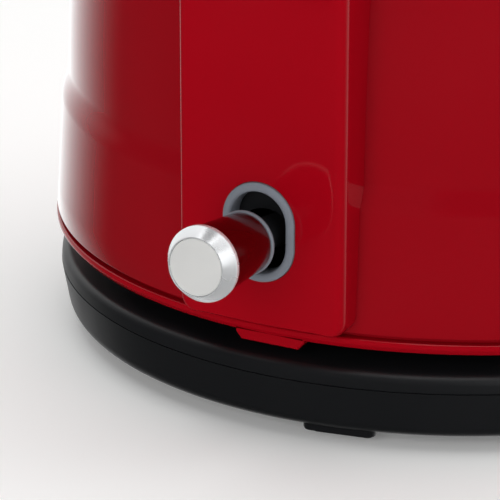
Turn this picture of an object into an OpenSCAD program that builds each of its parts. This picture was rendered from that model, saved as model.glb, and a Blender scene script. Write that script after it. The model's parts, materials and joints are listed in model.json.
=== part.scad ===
/* [Power base] */
// How far the base's parting line lies inside the jug's rim ring
base_inset = 2.7; // [1:0.1:6]
// Distance of the base's outline behind the connector's axis
base_offset = 5; // [0:0.5:8]
// Height of the underside of the bottom cover
base_z0 = 2.4; // [2:0.1:5]
// Height of the bottom cover, from its underside to the parting line
base_low_h = 11.1; // [10.5:0.1:15]
// Height of the top cover's rim above the parting line
base_rim_h = 3.2; // [2.5:0.1:5]
// Height of the raised plateau above that rim
plateau_h = 3.8; // [3:0.1:6]
// Gap between the plateau and the jug's bottom ring
plateau_gap = 7.9; // [3:0.1:12]
// Wall of both base covers
base_wall = 2; // [1.5:0.1:2.6]
// Number of feet
foot_count = 6; // [3:1:8]
// Angle of the first foot from the rear
foot_angle = 10; // [0:1:25]
// How far a foot housing stands below the underside
foot_drop = 1.2; // [0.8:0.1:1.6]
// Radius of the mains cord that the gland takes
cord_r = 3.3; // [2.5:0.1:4]

/* [Connector] */
// Radius of the connector boss
boss_r = 15.2; // [14:0.1:19]
// Height of the boss above the plateau
boss_h = 11; // [9:0.5:12.5]
// Radius of the centre pin
centre_pin_r = 2.6; // [2:0.1:3.2]
// Middle radius of the ring blade
blade_r = 9; // [8:0.1:10.4]

/* [Jug body] */
// Radius of the lower edge of the rim ring
rim_r = 80; // [78:0.5:96]
// How far the rim ring hangs below the plateau
rim_drop = 1.5; // [0.5:0.1:2.5]
// Height of the visible face of the rim ring
rim_h = 2.1; // [1.5:0.1:4]
// Width of the shadow groove above the rim ring
groove_w = 1; // [0.6:0.1:2]
// Sheet thickness of the body shell
shell_wall = 1.2; // [0.8:0.1:1.6]
// Height of the lower band of the body
band_h = 22; // [18:0.5:27]
// How much the lower band narrows towards its top
band_draft = 1.3; // [0.5:0.1:2]
// Height of the rolled step above the band
step_h = 6; // [4:0.5:8]
// Depth of the rolled step
step_d = 1.5; // [0.8:0.1:2.2]
// Height of the tapered wall above the step
wall_h = 90; // [75:1:110]
// How much the tapered wall narrows
wall_draft = 7.8; // [4:0.2:10]
// Height of the shoulder
shoulder_h = 35; // [28:1:42]
// How far the filling mouth lies inside the top of the wall
mouth_inset = 20; // [16:0.5:26]
// Width of the lug under the rim ring at the rear
lug_w = 14; // [8:0.5:18]
// Height of that lug
lug_h = 1.8; // [1:0.1:2]

/* [Rear panel and handle] */
// How far the panel's flat face stands behind the foot of the shell
panel_proud = 3.4; // [2.5:0.1:6]
// Width of the panel
panel_w = 33.6; // [28:0.2:42]
// Height of the panel above the rolled step
panel_rise = 35.9; // [28:0.5:45]
// Wall of the panel and of the handle shells
panel_wall = 2; // [1.5:0.1:2.4]
// Radius of the panel's long edges
panel_edge_r = 2; // [1.5:0.1:2.5]
// Radius of the panel's lower corners
panel_corner_r = 3; // [2.5:0.5:5]
// Reach of the handle behind the panel
handle_reach = 36; // [30:1:44]
// Thickness of the handle
handle_t = 16; // [14:0.5:18]
// Width of the grip
grip_w = 26; // [24:0.5:31]

/* [Switch lever] */
// Distance of the slot's middle below the rolled step
slot_drop = 4.1; // [2:0.1:6]
// Gap between the lever's neck and each side of the slot
slot_side = 2.4; // [1.2:0.1:3]
// Height that the slot leaves for the lever's travel
slot_play = 9; // [8.5:0.1:12]
// Width of the bezel's face
bezel_face = 1.8; // [1.6:0.1:2.4]
// How far the bezel stands proud of the panel
bezel_proud = 0.8; // [0.4:0.1:1.5]
// Distance from the lever's pivot to the panel's face
pivot_depth = 24; // [22:0.5:27]
// Distance of the pivot below the slot's middle
pivot_drop = 3.8; // [3.2:0.1:4.4]
// Upward tilt of the lever when it is off
lever_tilt = 7.5; // [5:0.5:8]
// Angle by which the lever bends down at the panel's face
lever_bend = 4.5; // [0:0.5:6]
// Radius of the lever's neck in the slot
neck_r = 3; // [2:0.1:3.8]
// Gap from the panel's face to the back of the knob's collar
collar_gap = 4.8; // [3:0.1:7]
// Length of the red part of the knob
knob_l = 13.5; // [12:0.5:24]
// Radius of the knob at the panel
knob_root_r = 5.65; // [5:0.05:7]
// Radius of the knob at the cap
knob_end_r = 6.5; // [5.8:0.05:8]
// How far the chrome cap stands out from the knob
cap_lip = 0.4; // [0.2:0.1:1]
// Radius of the pivot pins
pin_r = 1.5; // [1.2:0.1:1.8]

/* [Lid] */
// Height of the lid's dome
dome_h = 15; // [10:0.5:18]
// Radius of the knob on the lid
lid_knob_r = 11; // [9:0.5:14]
// Depth of the plug below the mouth
plug_h = 8; // [6:0.5:10]
// Distance of the hinge pin behind the edge of the mouth's flange
hinge_gap = 11; // [9:0.5:14]

/* [Clearances] */
// Radial clearance of a running fit
run_fit = 0.08; // [0.05:0.01:0.1]
// Gap between pieces that are assembled to each other
fit_gap = 0.1; // [0.05:0.01:0.15]
// Gap between pieces that move past each other
air_gap = 0.4; // [0.3:0.05:0.5]

/* [Hidden] */
$fn = 96;
eps = 0.01;

// Colours of the finishes
paint_red = [0.62, 0.01, 0.06];
satin_black = [0.06, 0.06, 0.065];
bezel_grey = [0.38, 0.39, 0.43];
steel = [0.75, 0.75, 0.76];
chrome = [0.85, 0.86, 0.88];
brass = [0.78, 0.62, 0.28];
silicone = [0.8, 0.8, 0.78];

// Levels of the power base
base_r = rim_r - base_inset;
base_parting_z = base_z0 + base_low_h;
base_rim_z = base_parting_z + base_rim_h;
plateau_z = base_rim_z + plateau_h;
rim_z = plateau_z - rim_drop;

// Body shell: z levels and radii from the bottom up
shell_z0 = rim_z + rim_h + groove_w;
shell_r0 = rim_r + 0.6;
band_z = shell_z0 + band_h;
band_r = shell_r0 - band_draft;
step_z = band_z + step_h;
step_r = band_r - step_d;
wall_z = step_z + wall_h;
wall_r = step_r - wall_draft;
shell_top = wall_z + shoulder_h;
mouth_r = wall_r - mouth_inset;
mouth_lip = 5;
shell_top_r = mouth_r + mouth_lip;
shell_outline = concat(
    [[shell_r0, shell_z0], [band_r, band_z]],
    [for (i = [1:8]) [band_r - step_d * (1 - cos(180 * i / 8)) / 2, band_z + step_h * i / 8]],
    [for (i = [1:14]) [step_r - wall_draft * pow(i / 14, 1.6), step_z + wall_h * i / 14]],
    [for (i = [1:10]) bezier(
        [wall_r, wall_z],
        [wall_r - 0.139 * shoulder_h * 0.55, wall_z + shoulder_h * 0.55],
        [shell_top_r + 9, shell_top - 1.2],
        [shell_top_r, shell_top], i / 10)]
);

// Rim ring and bottom cover
ring_out = 0.8;
ring_neck_h = 5;
neck_out_r = shell_r0 - shell_wall - band_draft * ring_neck_h / band_h - 0.1;
neck_in_r = neck_out_r - 2.1;
ledge_r = neck_in_r - 3.8;
ledge_h = 3.2;
cover_z = plateau_z + 0.2;
cover_t = 2;
cover_top = cover_z + cover_t;
cover_screw_r = (ledge_r + neck_in_r) / 2;
plateau_r = neck_in_r - plateau_gap;

// Rear panel and the slot in it
panel_x = shell_r0 + panel_proud;
panel_top = step_z + panel_rise;
slot_z = band_z - slot_drop;
slot_w = 2 * (neck_r + slot_side);
slot_h = 2 * neck_r + slot_play;
bezel_w = slot_w + 2 * bezel_face;
bezel_h = slot_h + 2 * bezel_face;
opening_drop = 4;
opening_h = 15.4;

// Connector: the base's boss and the jug's socket over it
boss_top = plateau_z + boss_h;
boss_flange_t = 2;
boss_z0 = plateau_z - base_wall - boss_flange_t - fit_gap;
live_wall = 0.8;
slot_in_r = blade_r - 1.4;
slot_out_r = blade_r + 1.4;
blade_t = 0.8;
cup_in_r = boss_r + run_fit;
cup_wall = 2.4;
cup_out_r = cup_in_r + cup_wall;
cup_z0 = cover_z;
cup_roof_z = boss_top + 0.5;
cup_top = cup_roof_z + 1.6;

// Heating parts under the water chamber
plate_z = band_z + 0.9;
plate_t = 1;
seal_r = band_r - shell_wall - step_d / 2 - 0.15;
plate_r = seal_r - 1.5;
clamp_z = band_z - 0.9;
diffuser_t = 1.9;
diffuser_z = plate_z - diffuser_t - fit_gap;
element_tube_r = 3.2;
element_z = diffuser_z - element_tube_r - fit_gap;
control_r = 24;
disc_t = 0.4;
control_top = diffuser_z - disc_t - 2 * fit_gap;
control_z0 = cup_top + 0.5;
tube_x = wall_r - 8;
tube_r = 3;
tube_top = wall_z + shoulder_h * 0.45;

// Switch lever: stations along the lever's own axis from its pivot
pivot_x = panel_x - pivot_depth;
pivot_z = slot_z - pivot_drop;
face_s = pivot_depth / cos(lever_tilt);
collar_s = face_s + collar_gap;
collar_t = 0.9;
knob_s = collar_s + collar_t + 0.05;
knob_end_s = knob_s + knob_l;
cap_t = 3.4;
neck_end_s = knob_s + knob_l * 0.75;
tail_l = 12;
cheek_in = neck_r + 2;
cheek_out = cheek_in + 2.5;
guide_z = pivot_z + 2.2;
plunger_x = pivot_x - tail_l;
plunger_z0 = pivot_z - tail_l * tan(lever_tilt) + 1.7;
diffuser_r = plunger_x - 5;
element_r = diffuser_r - 6;
cap_r = knob_end_r + cap_lip;
disc_r = cap_r - 1.75;
cap_stub_r = 3;

// Handle: the middle line of its side view is two Bezier arcs
handle_x = panel_x + handle_reach;
hinge_x = shell_top_r + hinge_gap;
handle_z0 = panel_top + fit_gap;
handle_bow = 0.404 * (shell_top - handle_z0);
handle_low = [panel_x - handle_t / 2 - 1.3, handle_z0];
handle_mid = [handle_x, (handle_z0 + shell_top) / 2 + 3];
handle_high = [hinge_x + 8, shell_top - 1];
handle_line = concat(
    [for (i = [0:11]) bezier(handle_low, handle_low + [3, 15], [handle_x, handle_mid[1] - handle_bow],
        handle_mid, i / 12)],
    [for (i = [0:12]) bezier(handle_mid, [handle_x, handle_mid[1] + handle_bow], [handle_x - 14, shell_top + 3],
        handle_high, i / 12)]
);
head_w = 30;

// Lid
lid_gap = 0.3;
neck_ring_t = 1.2;
lid_z0 = shell_top + neck_ring_t + lid_gap;
lid_r = shell_top_r + 2.2;
lid_skirt = 3.4;
lid_wall = 1.5;
dome_z = lid_z0 + lid_skirt;
lid_top = dome_z + dome_h;
plug_r = mouth_r - 2.6;
hinge_z = lid_z0 + 7;
knuckle_r = pin_r + 2.2;
knuckle_half = 8.5;

// Point at parameter t on a cubic Bezier arc
function bezier(a, b, c, d, t) =
    pow(1 - t, 3) * a + 3 * t * pow(1 - t, 2) * b + 3 * t * t * (1 - t) * c + pow(t, 3) * d;

// Unit normal on the right-hand side of a polyline at point i
function side_normal(line, i) =
    let (last = len(line) - 1,
         d = line[min(i + 1, last)] - line[max(i - 1, 0)],
         n = norm(d))
    [d[1] / n, -d[0] / n];

// The polyline moved sideways by a distance
function moved(line, by) = [for (i = [0:len(line) - 1]) line[i] + by * side_normal(line, i)];

function reversed(line) = [for (i = [len(line) - 1:-1:0]) line[i]];

// Points of an arc from angle a0 to a1
function arc(c, r, a0, a1, n) = [for (i = [0:n]) let (a = a0 + (a1 - a0) * i / n) c + r * [cos(a), sin(a)]];

// Flat ring or tube between two radii
module tube(r_in, r_out, z0, z1) {
    rotate_extrude() translate([r_in, z0]) square([r_out - r_in, z1 - z0]);
}

// Disc or rod between two heights
module rod(r, z0, z1) {
    translate([0, 0, z0]) cylinder(r = r, h = z1 - z0);
}

// Rod along Y
module cross_rod(x, z, r, half) {
    translate([x, half, z]) rotate([90, 0, 0]) cylinder(r = r, h = 2 * half);
}

// Children repeated round the axis
module around(count, r, start = 0) {
    for (k = [0:count - 1]) rotate(start + 360 * k / count) translate([r, 0, 0]) children();
}

// Screw with a flat head, point up
module screw(r, head_r, head_t, z0, z1) {
    rod(head_r, z0, z0 + head_t);
    rod(r, z0, z1);
}

// Outline in the YZ plane, extruded along X
module along_x(x0, x1) {
    translate([x0, 0, 0]) rotate([90, 0, 90]) linear_extrude(x1 - x0) children();
}

// Outline in the XZ plane, extruded symmetrically along Y
module along_y(half) {
    translate([0, half, 0]) rotate([90, 0, 0]) linear_extrude(2 * half) children();
}

// Upright obround outline
module obround(w, h) {
    square([w, h - w], center = true);
    for (s = [-1, 1]) translate([0, s * (h - w) / 2]) circle(w / 2);
}

// Solid space inside the body shell's outer surface, grown by a gap
module body_space(gap) {
    rotate_extrude() polygon(concat(
        [[0, shell_z0 - gap]],
        [[shell_r0 + gap, shell_z0 - gap]],
        [for (p = shell_outline) [p[0] + gap, p[1]]],
        [[shell_top_r, shell_top + gap], [0, shell_top + gap]]));
}

// ---- Power base ----

base_floor_r = base_r - 6.6;
base_corner_r = 5.8;
base_screw_r = base_floor_r - 24.7;
boss_post_r = 4;
post_join_z = 12;

module base_outline_low(inset) {
    corner = base_corner_r - inset;
    polygon(concat(
        [[0, base_z0 + inset]],
        arc([base_floor_r, base_z0 + base_corner_r], corner, -90, 0, 10),
        [[base_r - inset, base_parting_z - 0.05 + (inset > 0 ? 1 : 0)],
         [0, base_parting_z - 0.05 + (inset > 0 ? 1 : 0)]]));
}

module foot_block(r0, r1, half, z0, z1) {
    for (k = [0:foot_count - 1])
        rotate_extrude(angle = 2 * half, start = foot_angle - half + 360 * k / foot_count)
            translate([r0, z0]) square([r1 - r0, z1 - z0]);
}

foot_half = 5.5;
foot_r0 = base_floor_r - 11;
foot_r1 = base_r - 3.3;
pad_half = 4.6;
pad_t = foot_drop + 1;
housing_z0 = foot_drop;
pad_r1 = foot_r1 - 2.6;
gland_angle = 100;
gland_r = cord_r + 1.4;
gland_z = base_parting_z - 0.3 - gland_r;
gland_l = 9;
clamp_half = 7.5;

module at_gland() {
    translate([base_offset, 0, gland_z]) rotate(gland_angle) translate([base_r, 0, 0]) rotate([0, 90, 0])
        children();
}

module base_bottom_cover() {
    color(satin_black) difference() {
        union() {
            translate([base_offset, 0, 0]) {
                difference() {
                    rotate_extrude() base_outline_low(0);
                    rotate_extrude() base_outline_low(base_wall);
                }
                foot_block(foot_r0, foot_r1, foot_half, housing_z0, base_z0 + base_wall);
            }
            around(4, base_screw_r) rod(boss_post_r, base_z0, post_join_z);
        }
        translate([base_offset, 0, 0])
            foot_block(foot_r0 + 1.2, pad_r1 + fit_gap, pad_half + 0.1, -eps, pad_t + fit_gap);
        around(4, base_screw_r) {
            rod(3.2, 0, base_z0 + 2.6);
            rod(1.6 + fit_gap, 0, post_join_z + eps);
        }
        for (s = [-1, 1]) at_clamp(s) {
            rod(3.2, 0, base_z0 + 1.2);
            rod(1.6 + fit_gap, 0, base_z0 + base_wall + eps);
        }
        at_gland() rod(gland_r + fit_gap, -gland_l, gland_l);
    }
}

module base_top_cover() {
    edge_r = 1.7;
    color(satin_black) difference() {
        union() {
            translate([base_offset, 0, 0]) rotate_extrude() polygon(concat(
                [[0, base_parting_z], [base_r, base_parting_z]],
                arc([base_r - 0.3 - edge_r, base_rim_z - edge_r], edge_r, 0, 90, 6),
                [[0, base_rim_z]]));
            rod(plateau_r - 0.6, base_parting_z, plateau_z);
            rod(plateau_r, base_parting_z, plateau_z - 0.6);
        }
        translate([base_offset, 0, 0]) rod(base_r - 0.4 - base_wall, 0, base_rim_z - base_wall);
        difference() {
            rod(plateau_r - base_wall, 0, plateau_z - base_wall);
            around(4, base_screw_r) rod(boss_post_r, post_join_z + 0.05, plateau_z);
        }
        around(4, base_screw_r) rod(1.4, 0, plateau_z - 3);
        rod(boss_r + fit_gap, 0, plateau_z + 1);
    }
    color(satin_black) difference() {
        around(4, base_screw_r) rod(boss_post_r, post_join_z + 0.05, plateau_z - base_wall + eps);
        around(4, base_screw_r) rod(1.4, 0, plateau_z - 3);
    }
}

module base_feet() {
    color([0.1, 0.1, 0.1]) translate([base_offset, 0, 0])
        foot_block(foot_r0 + 1.3, pad_r1, pad_half, 0, pad_t);
}

module base_screws() {
    color(steel) {
        around(4, base_screw_r) screw(1.3, 3, 1.4, base_z0 + 1.1, post_join_z + 4);
        for (s = [-1, 1]) at_clamp(s) screw(1.3, 3, 1, base_z0 + 0.1, gland_z + 2);
    }
}

module cord_gland() {
    color([0.1, 0.1, 0.1]) at_gland() difference() {
        union() {
            rod(gland_r, -gland_l, 2);
            translate([-3.4, -gland_r - 1.4, -base_wall - 4.8]) cube([6.8, 2 * gland_r + 2.8, 1.6]);
        }
        rod(cord_r, -gland_l - 1, 3);
    }
}

// Places children on one of the two posts of the cord clamp
module at_clamp(side) {
    translate([base_offset, 0, 0]) rotate(gland_angle)
        translate([base_r - gland_l - 12, side * clamp_half, 0]) children();
}

// Bar over the cord's way in, on two posts just inside the gland
module cord_clamp() {
    bar_z = gland_z + cord_r + 0.4;
    color(satin_black) difference() {
        union() {
            for (s = [-1, 1]) at_clamp(s) rod(2.6, base_z0 + base_wall + 0.05, bar_z + 0.1);
            at_clamp(0) translate([-3, -clamp_half - 2.6, bar_z]) cube([6, 2 * clamp_half + 5.2, 1.6]);
        }
        for (s = [-1, 1]) at_clamp(s) rod(1.4, 0, gland_z + 2.4);
    }
}

module base_connector() {
    color(satin_black) difference() {
        union() {
            rod(boss_r + 7, boss_z0, boss_z0 + boss_flange_t);
            rod(boss_r, boss_z0, boss_top - 0.8);
            translate([0, 0, boss_top - 0.8]) cylinder(r1 = boss_r, r2 = boss_r - 0.8, h = 0.8);
        }
        rod(centre_pin_r + run_fit + live_wall + fit_gap, boss_z0 + 3, boss_top + 1);
        difference() {
            rod(slot_out_r, boss_z0 + 4, boss_top + 1);
            rod(slot_in_r, 0, boss_top + 2);
        }
        tube(boss_r - 0.6, boss_r + 1, plateau_z + 3, plateau_z + 8);
        around(3, boss_r + 4, 60) rod(1.3, 0, boss_top);
    }
}

module connector_screws() {
    color(steel) around(3, boss_r + 4, 60) screw(1.2, 2.6, 1.3, boss_z0 - 1.4, plateau_z - base_wall - 0.05);
}

module live_contact() {
    bore = centre_pin_r + run_fit;
    color(brass) tube(bore, bore + live_wall, boss_z0 + 3.05, boss_top - 1.5);
}

module neutral_contact() {
    color(brass) tube(slot_in_r + 0.05, blade_r - blade_t / 2 - 0.1, boss_z0 + 4.05, boss_top - 2);
}

module earth_ring() {
    color(brass) tube(boss_r - 0.55, boss_r - 0.02, plateau_z + 3.05, plateau_z + 7.95);
}

// ---- Socket that drops over the boss ----

module socket_cup() {
    color(satin_black) difference() {
        rod(cup_out_r, cup_z0, cup_top);
        rod(cup_in_r, 0, cup_roof_z);
        translate([0, 0, cup_z0 - eps]) cylinder(r1 = cup_in_r + 1.2, r2 = cup_in_r, h = 1.2);
        tube(cup_in_r - 1, cup_in_r + 0.6, plateau_z + 2.5, plateau_z + 6.5);
        rod(centre_pin_r + 0.05, 0, cup_roof_z + 1);
        tube(blade_r - blade_t / 2 - 0.05, blade_r + blade_t / 2 + 0.05, cup_roof_z - 1, cup_roof_z + 1);
    }
}

module centre_pin() {
    tip = 1.2;
    color(brass) {
        rod(centre_pin_r, boss_z0 + 5 + tip, cup_roof_z + 0.95);
        translate([0, 0, boss_z0 + 5]) cylinder(r1 = centre_pin_r - tip, r2 = centre_pin_r, h = tip);
    }
}

module ring_blade() {
    color(brass) tube(blade_r - blade_t / 2, blade_r + blade_t / 2, boss_z0 + 6, cup_roof_z + 0.95);
}

module earth_band() {
    color(brass) tube(cup_in_r + 0.02, cup_in_r + 0.55, plateau_z + 2.55, plateau_z + 6.45);
}

// ---- Jug ----

spout_z0 = wall_z - 8;
spout_top = shell_top - 6;
spout_reach = 20;
spout_half = 23;

// Window in the shell behind the spout
module spout_window() {
    top = spout_top - 3;
    low = spout_z0 + 12;
    along_x(-rim_r, 0) polygon([[-3, low], [3, low], [spout_half - 6, top], [6 - spout_half, top]]);
}

module body_shell() {
    inside = moved(shell_outline, -shell_wall);
    color(paint_red) difference() {
        rotate_extrude() polygon(concat(shell_outline, reversed(inside)));
        spout_window();
        along_x(band_r - 12, band_r + 5) translate([0, slot_z - opening_drop]) obround(bezel_w - 1.4, opening_h);
        for (s = [-1, 1])
            translate([hinge_x - 6, s * 10, shell_top - 25]) rod(1.4, 0, 30);
    }
}

module rim_ring() {
    color(paint_red) difference() {
        union() {
            rotate_extrude() polygon([
                [neck_in_r, rim_z], [rim_r, rim_z], [rim_r + ring_out, rim_z + 1.1],
                [rim_r + ring_out, rim_z + rim_h], [neck_out_r, rim_z + rim_h],
                [neck_out_r, shell_z0 + ring_neck_h], [neck_in_r, shell_z0 + ring_neck_h],
                [neck_in_r, cover_top + 0.1 + ledge_h], [ledge_r, cover_top + 0.1 + ledge_h],
                [ledge_r, cover_top + 0.1], [neck_in_r, cover_top + 0.1]]);
            along_x(neck_in_r, rim_r + 0.3) polygon([
                [-lug_w / 2, rim_z + 0.5], [-lug_w / 2, rim_z], [1 - lug_w / 2, rim_z - lug_h],
                [lug_w / 2 - 1, rim_z - lug_h], [lug_w / 2, rim_z], [lug_w / 2, rim_z + 0.5]]);
        }
        around(4, cover_screw_r, 45) rod(1.1, 0, cover_top + ledge_h);
    }
}

module bottom_cover() {
    color(satin_black) difference() {
        rod(neck_in_r - 0.2, cover_z, cover_top);
        rod(cup_out_r + run_fit, 0, cover_top + 1);
        around(4, cover_screw_r, 45) rod(1.5, 0, cover_top + 1);
    }
}

module cover_screws() {
    color(steel) around(4, cover_screw_r, 45) {
        rod(1.05, cover_z - 0.6, cover_top + ledge_h - 0.4);
        rod(1.7, cover_z - 1.4, cover_z - 0.05);
    }
}

// Plan of the panel: straight sides and rounded rear edges
module panel_plan(x1, half, r) {
    x0 = panel_x - 28;
    translate([x0, -half]) square([x1 - x0 - r, 2 * half]);
    translate([x0, r - half]) square([x1 - x0, 2 * (half - r)]);
    for (s = [-1, 1]) translate([x1 - r, s * (half - r)]) circle(r);
}

// Rear view of the panel: rounded lower corners
module panel_view(half, z0, r) {
    translate([-half, z0 + r]) square([2 * half, panel_top - z0 - r]);
    translate([r - half, z0]) square([2 * (half - r), panel_top - z0]);
    for (s = [-1, 1]) translate([s * (half - r), z0 + r]) circle(r);
}

module rear_panel() {
    half = panel_w / 2;
    z0 = shell_z0 + 0.1;
    color(paint_red) difference() {
        intersection() {
            translate([0, 0, z0]) linear_extrude(panel_top - z0) panel_plan(panel_x, half, panel_edge_r);
            along_x(0, panel_x + 1) panel_view(half, z0, panel_corner_r);
        }
        translate([0, 0, z0 + panel_wall]) linear_extrude(panel_top - z0 - 2 * panel_wall)
            panel_plan(panel_x - panel_wall, half - panel_wall, 0.5);
        body_space(fit_gap);
        along_x(pivot_x, panel_x + 1) translate([0, slot_z]) obround(bezel_w + 2 * fit_gap, bezel_h + 2 * fit_gap);
    }
}

module slot_bezel() {
    depth = panel_wall + 0.6;
    color(bezel_grey) difference() {
        along_x(panel_x - depth, panel_x + bezel_proud) translate([0, slot_z]) obround(bezel_w, bezel_h);
        along_x(pivot_x, panel_x + 5) translate([0, slot_z]) obround(slot_w, slot_h);
    }
}

module heating_plate() {
    color(steel) difference() {
        rod(plate_r, plate_z, plate_z + plate_t);
        translate([tube_x, 0, 0]) rod(tube_r + 1.5, 0, plate_z + 5);
    }
}

module plate_seal() {
    color(silicone) difference() {
        tube(plate_r - 2.5, seal_r, plate_z - 0.8, plate_z + plate_t + 0.8);
        rod(plate_r + 0.02, plate_z - 0.02, plate_z + plate_t + 0.02);
    }
}

module clamp_ring() {
    color(steel) tube(plate_r - 2.5, band_r - shell_wall - 0.2, clamp_z, plate_z - 0.85);
}

module heat_diffuser() {
    color([0.8, 0.8, 0.8]) difference() {
        rod(diffuser_r, diffuser_z, diffuser_z + diffuser_t);
        around(3, control_r - 5, 60) rod(1.5, 0, diffuser_z + 1.2);
    }
}

// Sheathed heating element: an open ring with a tail at each end
module element_tube() {
    gap = 34;
    color([0.45, 0.43, 0.42]) {
        rotate_extrude(angle = 360 - 2 * gap, start = gap) translate([element_r, element_z]) circle(element_tube_r);
        for (s = [-1, 1]) rotate(s * gap) translate([element_r, 0, 0])
            rod(element_tube_r - 0.5, cover_top + 8, element_z + element_tube_r - 0.1);
    }
}

module thermostat_control() {
    color([0.16, 0.16, 0.17]) difference() {
        union() {
            rod(control_r, control_z0 + 1.5, control_top);
            rod(control_r - 5, control_z0, control_top);
        }
        around(3, control_r - 5, 60) rod(1.5, 0, control_top + 1);
        around(3, control_r - 5, 60) rod(2.8, 0, control_z0 + 2.6);
    }
}

module control_screws() {
    color(steel) around(3, control_r - 5, 60) screw(1.4, 2.6, 1.2, control_z0 + 1.3, diffuser_z + 1.1);
}

module bimetal_discs() {
    color([0.7, 0.66, 0.55]) for (s = [-1, 1])
        translate([0, s * 13, 0]) rod(6, control_top + fit_gap, control_top + fit_gap + disc_t);
}

module steam_tube() {
    color(silicone) translate([tube_x, 0, 0]) difference() {
        rod(tube_r, plate_z - 2, tube_top);
        rod(tube_r - 0.8, 0, tube_top + 1);
    }
}

module tube_grommet() {
    color([0.25, 0.25, 0.26]) translate([tube_x, 0, 0]) difference() {
        union() {
            rod(tube_r + 1.4, plate_z - 0.5, plate_z + plate_t + 1.5);
            rod(tube_r + 3, plate_z + plate_t + 0.05, plate_z + plate_t + 1);
        }
        rod(tube_r + 0.05, 0, plate_z + 9);
    }
}

module switch_bracket() {
    x0 = plunger_x - 4;
    x1 = pivot_x + 6;
    color([0.16, 0.16, 0.17]) difference() {
        union() {
            translate([x0 - 2, -cheek_out - 4, cover_top + 0.1]) cube([x1 - x0 + 7, 2 * cheek_out + 8, 2]);
            for (s = [-1, 1]) translate([x0, s > 0 ? cheek_in : -cheek_out, cover_top + 1])
                cube([x1 - x0, cheek_out - cheek_in, guide_z + 2 - cover_top - 1]);
            translate([x0, -cheek_out, guide_z]) cube([7, 2 * cheek_out, 2]);
        }
        cross_rod(pivot_x, pivot_z, pin_r + 0.02, cheek_out + 1);
        translate([plunger_x, 0, 0]) rod(1.5 + run_fit, 0, guide_z + 5);
        for (s = [-1, 1], x = [x0 + 1, x1 + 3])
            translate([x, s * (cheek_out + 2), 0]) rod(1, cover_top, cover_top + 5);
    }
}

module bracket_screws() {
    x0 = plunger_x - 3;
    x1 = pivot_x + 9;
    color(steel) for (s = [-1, 1], x = [x0, x1]) translate([x, s * (cheek_out + 2), 0]) {
        rod(0.95, cover_top + 0.1, cover_top + 3);
        rod(1.7, cover_top + 2.15, cover_top + 3.2);
    }
}

module pivot_pin() {
    color(steel) cross_rod(pivot_x, pivot_z, pin_r, cheek_out + 0.4);
}

// Leaf spring under the lever's tail
module detent_spring() {
    z = cover_top + 2.15;
    peak = pivot_z - 5.5;
    leaf = 0.4;
    color(steel) along_y(2) polygon([
        [plunger_x - 3, z], [plunger_x + 9, z], [plunger_x + 9, z + leaf], [plunger_x + leaf, z + leaf],
        [plunger_x + 4, peak - leaf], [plunger_x + 3.6, peak], [plunger_x - 3, z + leaf]]);
}

// Places children, made along +Z from the pivot, on the lever's axis
module on_lever() {
    translate([pivot_x, 0, pivot_z]) rotate([0, 90 - lever_tilt, 0]) children();
}

// Places children on the knob's axis, which bends down from the lever's axis at the panel's face
module on_knob() {
    on_lever() translate([0, 0, face_s]) rotate([0, lever_bend, 0]) translate([0, 0, -face_s]) children();
}

module switch_arm() {
    hub_r = pin_r + 2.6;
    color([0.13, 0.13, 0.14]) difference() {
        union() {
            on_lever() {
                rod(neck_r, 2, face_s + 0.3);
                translate([-1.4, -neck_r + 1, -tail_l - 2]) cube([2.8, 2 * neck_r - 2, tail_l + 3]);
            }
            on_knob() rod(neck_r, face_s - 0.3, neck_end_s);
            cross_rod(pivot_x, pivot_z, hub_r, cheek_in - air_gap);
        }
        cross_rod(pivot_x, pivot_z, pin_r + run_fit, cheek_in);
    }
}

module lever_knob() {
    color([0.5, 0.01, 0.05]) on_knob() difference() {
        translate([0, 0, knob_s]) cylinder(r1 = knob_root_r, r2 = knob_end_r, h = knob_l);
        rod(neck_r + 0.05, 0, neck_end_s + 0.3);
        rod(cap_stub_r + 0.05, knob_end_s - 3, knob_end_s + 1);
    }
}

module lever_collar() {
    color(bezel_grey) on_knob() tube(neck_r + 0.05, knob_root_r + 0.25, collar_s, collar_s + collar_t);
}

module lever_cap_ring() {
    z = knob_end_s + 0.05;
    color(chrome) on_knob() difference() {
        union() {
            rotate_extrude() polygon([
                [0, z], [cap_r - 0.3, z], [cap_r, z + 0.3], [cap_r, z + 1],
                [disc_r + 0.25, z + cap_t], [0, z + cap_t]]);
            rod(cap_stub_r, knob_end_s - 2.8, z + eps);
        }
        rod(disc_r + 0.03, z + cap_t - 0.8, z + cap_t + 1);
    }
}

module lever_cap_disc() {
    z = knob_end_s + cap_t - 0.73;
    color([0.85, 0.85, 0.84]) on_knob() {
        rod(disc_r, z, z + 0.6);
        translate([0, 0, z + 0.6]) cylinder(r1 = disc_r, r2 = disc_r - 0.3, h = 0.15);
    }
}

module contact_plunger() {
    color([0.85, 0.84, 0.78]) translate([plunger_x, 0, 0]) rod(1.5, plunger_z0, guide_z + 2.3);
}

module neck_ring() {
    color(chrome) difference() {
        rotate_extrude() polygon([
            [mouth_r, shell_top - 5], [mouth_r + 1.3, shell_top - 5], [mouth_r + 1.3, shell_top + 0.05],
            [shell_top_r + 1, shell_top + 0.05], [shell_top_r + 1.4, shell_top + 0.5],
            [shell_top_r + 1, shell_top + neck_ring_t], [mouth_r, shell_top + neck_ring_t]]);
        along_x(hinge_x - 10, hinge_x + 10) translate([-16, shell_top - 8]) square([32, 16]);
    }
}

// Tapered trough that the water runs out through
module spout_form(inset) {
    lip_x = -(wall_r + spout_reach);
    lift = inset > 0 ? 8 : 0;
    hull() {
        translate([lip_x + inset * 1.6, 0, spout_top - 3 + lift]) sphere(4 - inset, $fn = 24);
        for (s = [-1, 1])
            translate([-wall_r + 12, s * (spout_half - inset), spout_top - 3 + lift]) sphere(3, $fn = 24);
        translate([-wall_r + 10, 0, spout_z0 + 3 + inset * 1.5]) sphere(4, $fn = 24);
    }
}

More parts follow.
